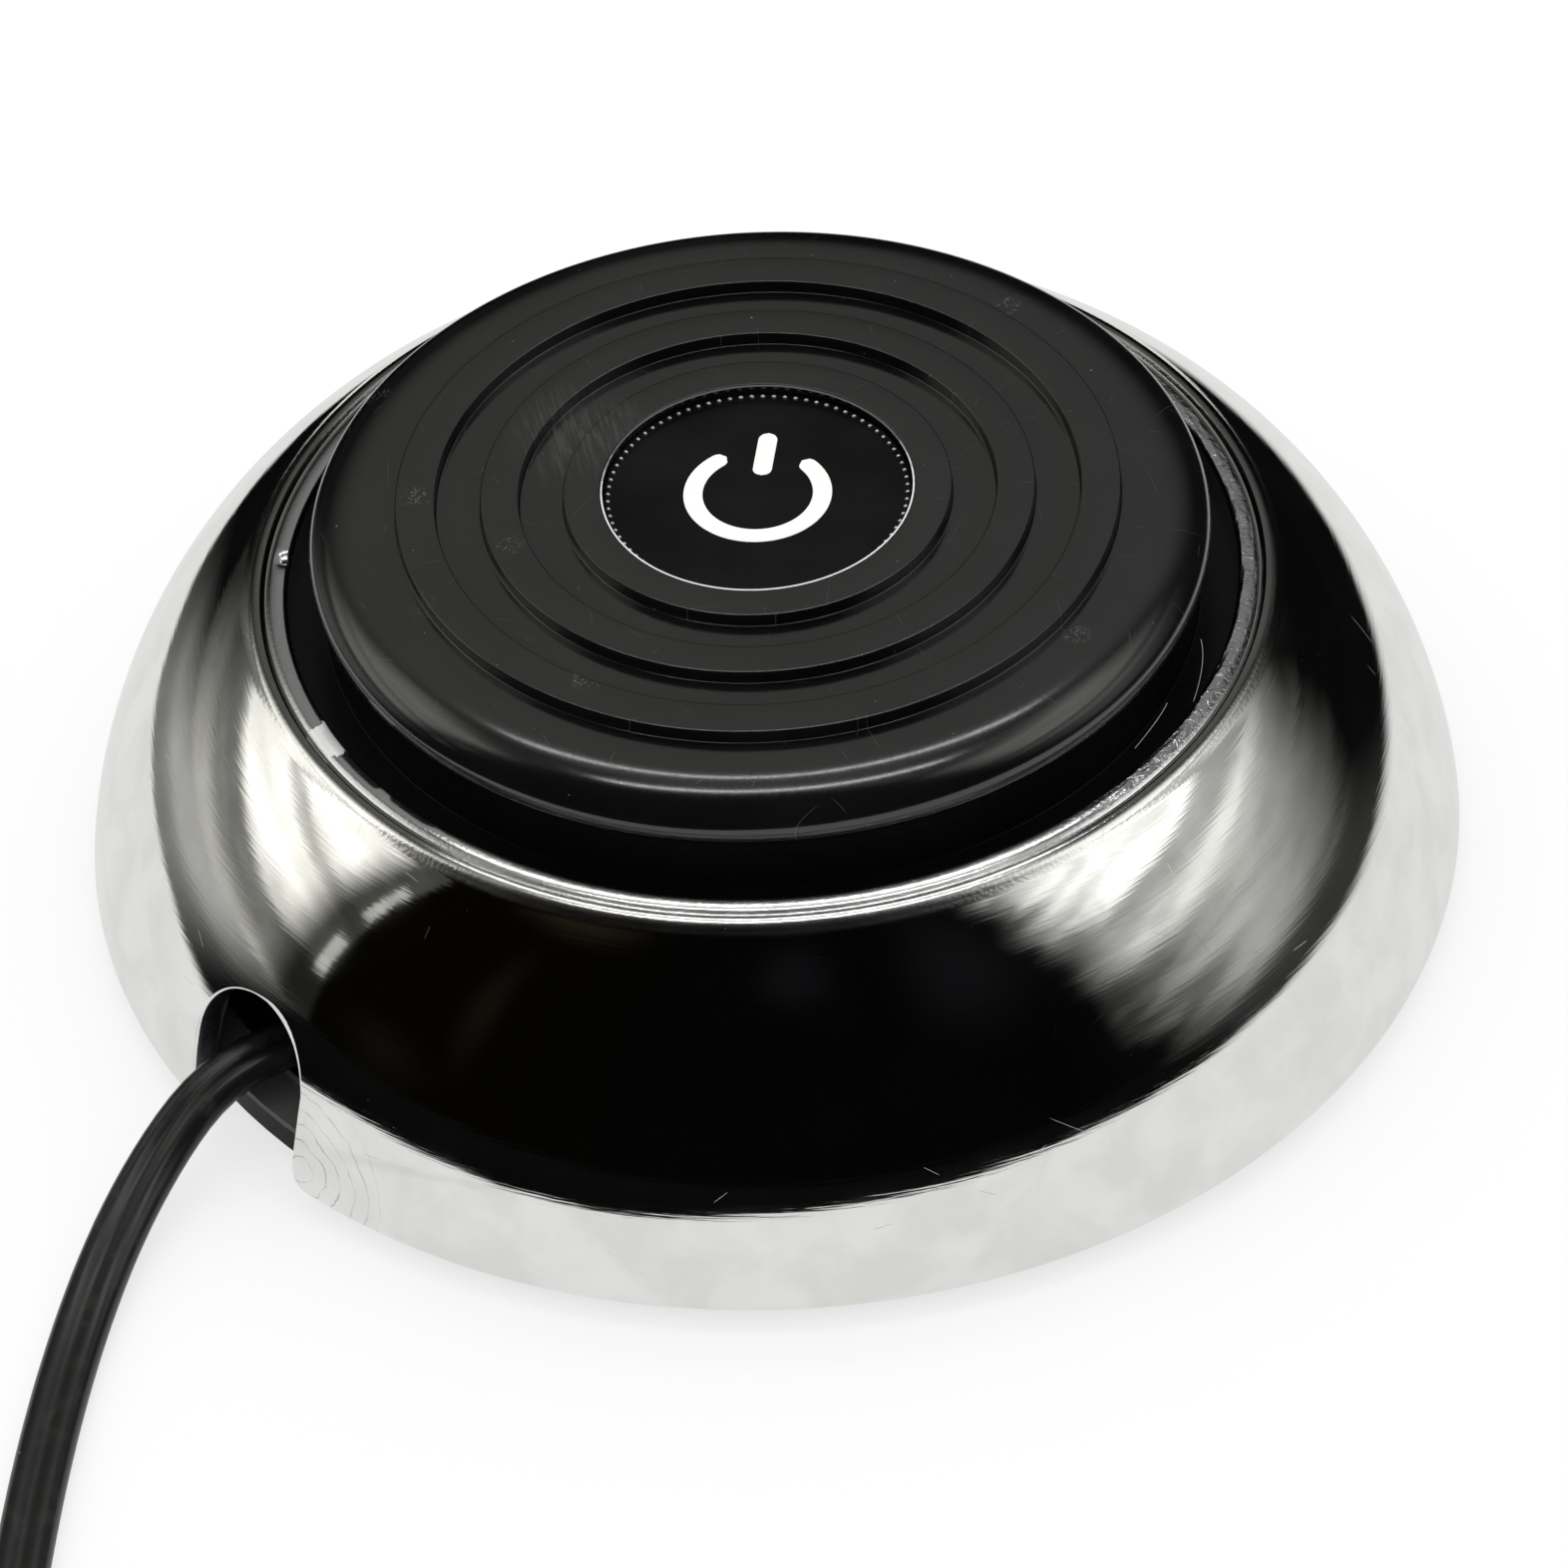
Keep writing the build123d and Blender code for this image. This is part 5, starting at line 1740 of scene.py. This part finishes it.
@dataclass(frozen=True)
class Studio:
    """Camera, floor, strip lamps and the soft tent that the metal mirrors.

    Directions are given as the angle round Z from the camera's side, positive to the right in the
    picture, and as the height over the horizon, both in degrees. A pair of angles is where a soft
    edge starts and ends, and two more numbers are the levels before and behind it. A wall's cloth
    is given by places, each with the width of the passage and the new level.
    """

    elevation: float = 40.66
    distance: float = 463.06
    aim_z: float = 30.25
    roll: float = -3.25
    pan: float = 0.08
    tilt: float = -2.37
    lens: float = 160.305
    sensor: float = 36.0
    clip: Pair = (0.01, 50.0)
    floor_size: float = 4000.0
    floor_color: Color = (0.94, 0.94, 0.94)
    floor_glow: float = 0.7
    sheet_r: float = 98.0
    sheet_reach: float = 62.0
    sheet_corner: Pair = (34.0, 62.0)
    sheet_dip: Triple = (-76.0, 26.0, 16.0)
    sheet_wave: Pair = (0.045, 14.0)
    sheet_color: Color = (0.93, 0.94, 0.92)
    sheet_light: float = 0.83
    sheet_even: float = 0.92
    sheet_soft: Quad = (25.0, 100.0, 6.0, 26.0)
    table_color: Color = (1.0, 1.0, 0.97)
    table_left: float = -109.0
    left_pale: Quad = (5.0, 32.0, 0.42, 0.001)
    left_far: Quad = (105.0, 190.0, 0.5, 1.0)
    table_right: float = 84.0
    right_pale: Pair = (8.0, 30.0)
    right_far: Quad = (150.0, 900.0, 0.035, 0.15)
    table_dim: float = 0.0025
    strip_l: float = 350.0
    strip_w: float = 26.0
    strip_z: float = 530.0
    strip_back: tuple[float, ...] = (0.0, 225.0)
    strip_radiance: float = 9.0
    soft_light: float = 1.0
    fold_size: Pair = (24.0, 5.0)
    fold_shift: float = 5.0
    fold_light: Quad = (0.34, 0.62, 0.82, 1.12)
    left_level: float = 0.45
    left_cloth: tuple[Triple, ...] = (
        (4.5, 5.0, 0.20),
        (14.0, 5.0, 1.15),
        (26.0, 2.2, 0.62),
        (28.8, 2.6, 1.25),
    )
    left_slant: Pair = (-112.0, 0.13)
    left_back: Quad = (-144.0, -116.0, 0.04, 1.0)
    left_front: Quad = (-94.0, -84.5, 1.0, 0.05)
    left_end: Pair = (-80.2, -78.8)
    left_top: Quad = (48.0, 60.0, 1.0, 0.12)
    left_slits: tuple[Triple, ...] = ((9.5, 19.5, 0.42), (26.5, 38.0, 0.40))
    slit_at: Pair = (-82.4, -80.0)
    right_level: float = 0.10
    right_cloth: tuple[Triple, ...] = (
        (0.5, 7.0, 0.38),
        (12.0, 8.0, 0.47),
        (22.0, 5.0, 0.66),
        (24.6, 2.5, 0.95),
        (28.8, 3.0, 0.48),
        (36.3, 3.0, 1.25),
    )
    right_front: Pair = (56.0, 84.0)
    right_back: Pair = (80.0, 116.0)
    right_top: Quad = (54.0, 66.0, 1.0, 0.2)
    near_lean: Pair = (0.25, 22.0)
    far_lean: Pair = (0.45, 16.0)
    seam_at: Triple = (53.0, 64.0, 5.0)
    seam_high: Triple = (10.0, 44.0, 10.0)
    seam_light: float = 0.045
    behind: Pair = (118.0, 150.0)
    roof_high: Pair = (12.0, 46.0)
    roof_light: float = 0.34
    over_high: Pair = (60.0, 80.0)
    over_light: float = 0.24
    opening_left: Pair = (-79.6, -78.4)
    opening_right: Pair = (42.0, 60.0)
    opening_ahead: Pair = (-0.01, 0.05)
    least_inside: float = 0.003
    least_outside: float = 0.0015
    cream_at: Pair = (-60.0, 60.0)
    cream: tuple[Color, Color] = ((1.0, 0.995, 0.93), (0.97, 0.985, 0.94))
    dusk_at: Pair = (-48.0, 4.0)
    dusk: tuple[Color, Color] = ((1.0, 0.84, 0.56), (0.90, 0.95, 1.06))
    dim_front: tuple[Glow, ...] = (
        Glow(-56.0, 60.0, 26.0, 12.0, 0.018),
        Glow(-54.0, 28.0, 5.0, 24.0, 0.005),
        Glow(-66.0, 6.0, 12.0, 9.0, 0.004),
        Glow(2.0, 52.0, 14.0, 13.0, 0.004),
        Glow(36.0, 44.0, 18.0, 26.0, 0.005),
    )

    def swung(self, first: Vector, second: Vector, angle: float) -> tuple[Vector, Vector]:
        """Two square axes turned by an angle, the first towards the second."""
        cos, sin = math.cos(angle), math.sin(angle)
        return first * cos + second * sin, second * cos - first * sin

    def camera(self) -> None:
        """Makes the camera at the photograph's place.

        It looks along the line to the aim point, turned by pan, tilt and roll in that order.
        """
        high, pan, tilt, roll = (math.radians(v) for v in (self.elevation, self.pan, self.tilt, self.roll))
        back = Vector((0.0, -math.cos(high), math.sin(high)))
        ahead, right = -back, Vector((1.0, 0.0, 0.0))
        up = right.cross(ahead)
        ahead, right = self.swung(ahead, right, pan)
        ahead, up = self.swung(ahead, up, tilt)
        right, up = self.swung(right, up, roll)
        turn = Matrix.Rotation(math.radians(CAMERA_SIDE + 90.0), 3, "Z")
        axes = Matrix([turn @ right, turn @ up, turn @ -ahead]).transposed().to_4x4()
        spot = turn @ (back * self.distance + Vector((0.0, 0.0, self.aim_z)))
        data = bpy.data.cameras.new("camera")
        data.lens = self.lens
        data.sensor_width = self.sensor
        data.clip_start, data.clip_end = self.clip
        camera = bpy.data.objects.new("camera", data)
        camera.matrix_world = Matrix.Translation(spot * MM) @ axes
        bpy.context.scene.collection.objects.link(camera)
        bpy.context.scene.camera = camera

    def floor(self) -> None:
        """Makes the floor: white with a soft shadow to the camera, a sheet on a table to the metal."""
        half = self.floor_size / 2 * MM
        mesh = bpy.data.meshes.new("floor")
        corners = [(x * half, y * half, 0.0) for x, y in ((-1, -1), (1, -1), (1, 1), (-1, 1))]
        mesh.from_pydata(corners, [], [(0, 1, 2, 3)])
        material = bpy.data.materials.new("white_floor")
        material.use_nodes = True
        graph = Graph(material.node_tree)
        rays = graph.node("ShaderNodeLightPath").outputs
        plain = graph.node("ShaderNodeBsdfDiffuse", {"Color": (*self.floor_color, 1.0)}).outputs[0]
        shown = graph.blend(self.floor_glow, plain, graph.light("Emission", WHITE, 1.0))
        first = graph.blend(rays["Is Camera Ray"], plain, shown)
        both = graph.blend(rays["Is Glossy Ray"], first, self.mirrored_floor(graph, plain))
        graph.node("ShaderNodeOutputMaterial", {"Surface": both})
        mesh.materials.append(material)
        floor = bpy.data.objects.new("floor", mesh)
        bpy.context.scene.collection.objects.link(floor)

    def mirrored_floor(self, graph: Graph, plain: Socket) -> Socket:
        """What the metal sees below it: a white sheet with an uneven border on a dark table.

        The sheet reaches further out at its corner and less far at its dip, and a noise makes its
        border wavy. The table is paler in two directions.

        Args:
            graph: the floor's node tree.
            plain: the floor's own shader.

        Returns:
            The shader.
        """
        at = graph.millimetres()
        x, y, _ = graph.parts(graph.from_camera(at))
        around = graph.degrees_round(x, y)
        reach = graph.measure("DISTANCE", at, (0.0, 0.0, 0.0))
        corner_at, half = self.sheet_corner
        corner = graph.step(graph.gap(around, corner_at), 0.0, half, self.sheet_reach, 0.0)
        middle, wide, deep = self.sheet_dip
        dip = graph.step(graph.gap(around, middle), 0.0, wide, deep, 0.0)
        limit = graph.plus(graph.minus(corner, dip), self.sheet_r)
        scale, most = self.sheet_wave
        wavy = graph.plus(reach, graph.times(graph.noise(at, scale, 3.0), most))
        soft = graph.step(around, *self.sheet_soft)
        edge = graph.step(graph.math("DIVIDE", graph.minus(wavy, limit), soft), 0.0, 1.0)
        pale_left = graph.step(graph.gap(around, self.table_left), *self.left_pale)
        left = graph.times(pale_left, graph.step(reach, *self.left_far))
        pale_right = graph.fall(graph.gap(around, self.table_right), *self.right_pale)
        right = graph.times(pale_right, graph.step(reach, *self.right_far))
        table = graph.light("Emission", self.table_color, graph.plus(graph.most(left, right), self.table_dim))
        bright = graph.light("Emission", self.sheet_color, self.sheet_light)
        return graph.blend(edge, graph.blend(self.sheet_even, plain, bright), table)

    def lamps(self) -> None:
        """Makes the strip lamps over the object, level and square to the camera's direction."""
        side = math.radians(CAMERA_SIDE)
        away = np.array([-math.cos(side), -math.sin(side)])
        for number, back in enumerate(self.strip_back):
            data = bpy.data.lights.new(f"strip_{number}", "AREA")
            data.shape = "RECTANGLE"
            data.size = self.strip_l * MM
            data.size_y = self.strip_w * MM
            data.energy = self.strip_radiance * math.pi * data.size * data.size_y
            lamp = bpy.data.objects.new(data.name, data)
            lamp.location = (*(away * back * MM), self.strip_z * MM)
            lamp.rotation_euler = (0.0, 0.0, side + math.pi / 2)
            lamp.visible_camera = False
            bpy.context.scene.collection.objects.link(lamp)

    def tent(self) -> None:
        """Makes the world: white to the camera, an even soft light, and the tent's walls to the metal."""
        world = bpy.data.worlds.new("tent")
        world.use_nodes = True
        bpy.context.scene.world = world
        world.cycles.sampling_method = "NONE"
        graph = Graph(world.node_tree)
        rays = graph.node("ShaderNodeLightPath").outputs
        seen = graph.node("ShaderNodeTexCoord").outputs["Generated"]
        walls = graph.light("Background", self.tent_walls(graph, graph.from_camera(seen)), 1.0)
        even = graph.light("Background", WHITE, self.soft_light)
        first = graph.blend(rays["Is Glossy Ray"], even, walls)
        both = graph.blend(rays["Is Camera Ray"], first, graph.light("Background", WHITE, 1.0))
        graph.node("ShaderNodeOutputWorld", {"Surface": both})

    def tent_walls(self, graph: Graph, facing: Socket) -> Socket:
        """Colour of the tent in each direction: two bright side walls, a grey roof, a dark front opening.

        The cloth's folds are a noise stretched round the tent, which also shifts the levels a little.

        Args:
            graph: the world's node tree.
            facing: direction, turned so that +X points to the camera's side.

        Returns:
            The colour.
        """
        x, y, z = graph.parts(facing)
        around = graph.degrees_round(x, y)
        high = graph.times(graph.math("ARCSINE", z), 180.0 / math.pi)
        wide, tall = self.fold_size
        drawn = graph.vector("MULTIPLY", graph.joined(around, high), (1 / wide, 1 / tall, 0.0))
        folds = graph.noise(drawn, 1.0, 3.0, 0.5)
        ripple = graph.shifted(high, folds, self.fold_shift)
        left = self.left_wall(graph, around, high, ripple)
        right = self.right_wall(graph, around, high, ripple, folds)
        sides = graph.times(graph.plus(left, right), graph.step(folds, *self.fold_light))
        behind = graph.step(graph.size(around), *self.behind)
        roof = graph.times(graph.step(high, *self.roof_high, 0.0, self.roof_light), behind)
        over = graph.step(high, *self.over_high, 0.0, self.over_light)
        inside = graph.plus(graph.most(sides, roof, over), self.least_inside)
        opening = graph.times(graph.step(around, *self.opening_left), graph.fall(around, *self.opening_right))
        opening = graph.times(opening, graph.step(x, *self.opening_ahead))
        spots = self.sum_of(graph, graph.joined(around, ripple), self.dim_front)
        cream = graph.mix(graph.step(around, *self.cream_at), *self.cream)
        dusk = graph.mix(graph.step(around, *self.dusk_at), *self.dusk)
        outside = self.scaled(graph, dusk, graph.plus(spots, self.least_outside))
        return graph.mix(opening, self.scaled(graph, cream, inside), outside)

    def left_wall(self, graph: Graph, around: Socket, high: Socket, ripple: Socket) -> Socket:
        """Light of the left wall: its cloth's levels, slanting a little, and two slits at its end.

        Args:
            graph: the world's node tree.
            around: the angle round Z.
            high: the height over the horizon.
            ripple: the height, shifted by the folds.

        Returns:
            The light.
        """
        start, slope = self.left_slant
        slanted = graph.plus(ripple, graph.times(graph.minus(around, start), slope))
        cloth = graph.profile(slanted, self.left_level, self.left_cloth)
        front = graph.step(around, *self.left_front)
        cloth = graph.times(cloth, front, graph.step(around, *self.left_back))
        slits = [graph.times(graph.band(high, low, top, 1.2), light) for low, top, light in self.left_slits]
        lit = graph.plus(cloth, graph.times(graph.plus(*slits), graph.band(around, *self.slit_at, 0.6)))
        lit = graph.times(lit, graph.fall(around, *self.left_end))
        return graph.times(lit, graph.step(high, *self.left_top))

    def right_wall(self, graph: Graph, around: Socket, high: Socket, ripple: Socket, folds: Socket) -> Socket:
        """Light of the right wall: its cloth's levels between two leaning edges, and a faint seam.

        Args:
            graph: the world's node tree.
            around: the angle round Z.
            high: the height over the horizon.
            ripple: the height, shifted by the folds.
            folds: the folds' noise.

        Returns:
            The light.
        """
        cloth = graph.profile(ripple, self.right_level, self.right_cloth)
        (lean, waves), (far_lean, far_waves) = self.near_lean, self.far_lean
        near = graph.shifted(graph.plus(around, graph.times(high, lean)), folds, waves)
        far = graph.shifted(graph.minus(around, graph.times(high, far_lean)), folds, far_waves)
        cloth = graph.times(cloth, graph.step(near, *self.right_front), graph.fall(far, *self.right_back))
        cloth = graph.times(cloth, graph.step(high, *self.right_top))
        seam = graph.times(graph.band(around, *self.seam_at), graph.band(high, *self.seam_high))
        return graph.plus(cloth, graph.times(seam, self.seam_light))

    def sum_of(self, graph: Graph, at: Socket, glows: Sequence[Glow]) -> Socket:
        """Adds up soft patches."""
        spots = [graph.glow(at, (one.around, one.high), (one.wide, one.tall), one.strength) for one in glows]
        return graph.plus(*spots)

    def scaled(self, graph: Graph, color: Socket, value: Socket) -> Socket:
        """Scales a colour.

        Args:
            graph: the node tree.
            color: the colour.
            value: what it is multiplied by.

        Returns:
            The scaled colour.
        """
        product = graph.vector("SCALE", color)
        graph.tree.links.new(value, product.node.inputs["Scale"])
        return product

    def build(self) -> None:
        """Sets up the view, the floor and the light."""
        bpy.context.scene.view_settings.view_transform = "Standard"
        self.camera()
        self.floor()
        self.lamps()
        self.tent()
        log.info("studio is set")


def main() -> None:
    """Builds the foot switch, piece by piece, and its studio."""
    logging.basicConfig(level=logging.INFO, format="%(name)s: %(message)s")
    Studio().build()
    plug = JackPlug().build()
    Cord().build(plug)
    Housing().build()
    Pedal().build()
    Badge().build()
    InnerWorks().build()


if __name__ == "__main__":
    main()
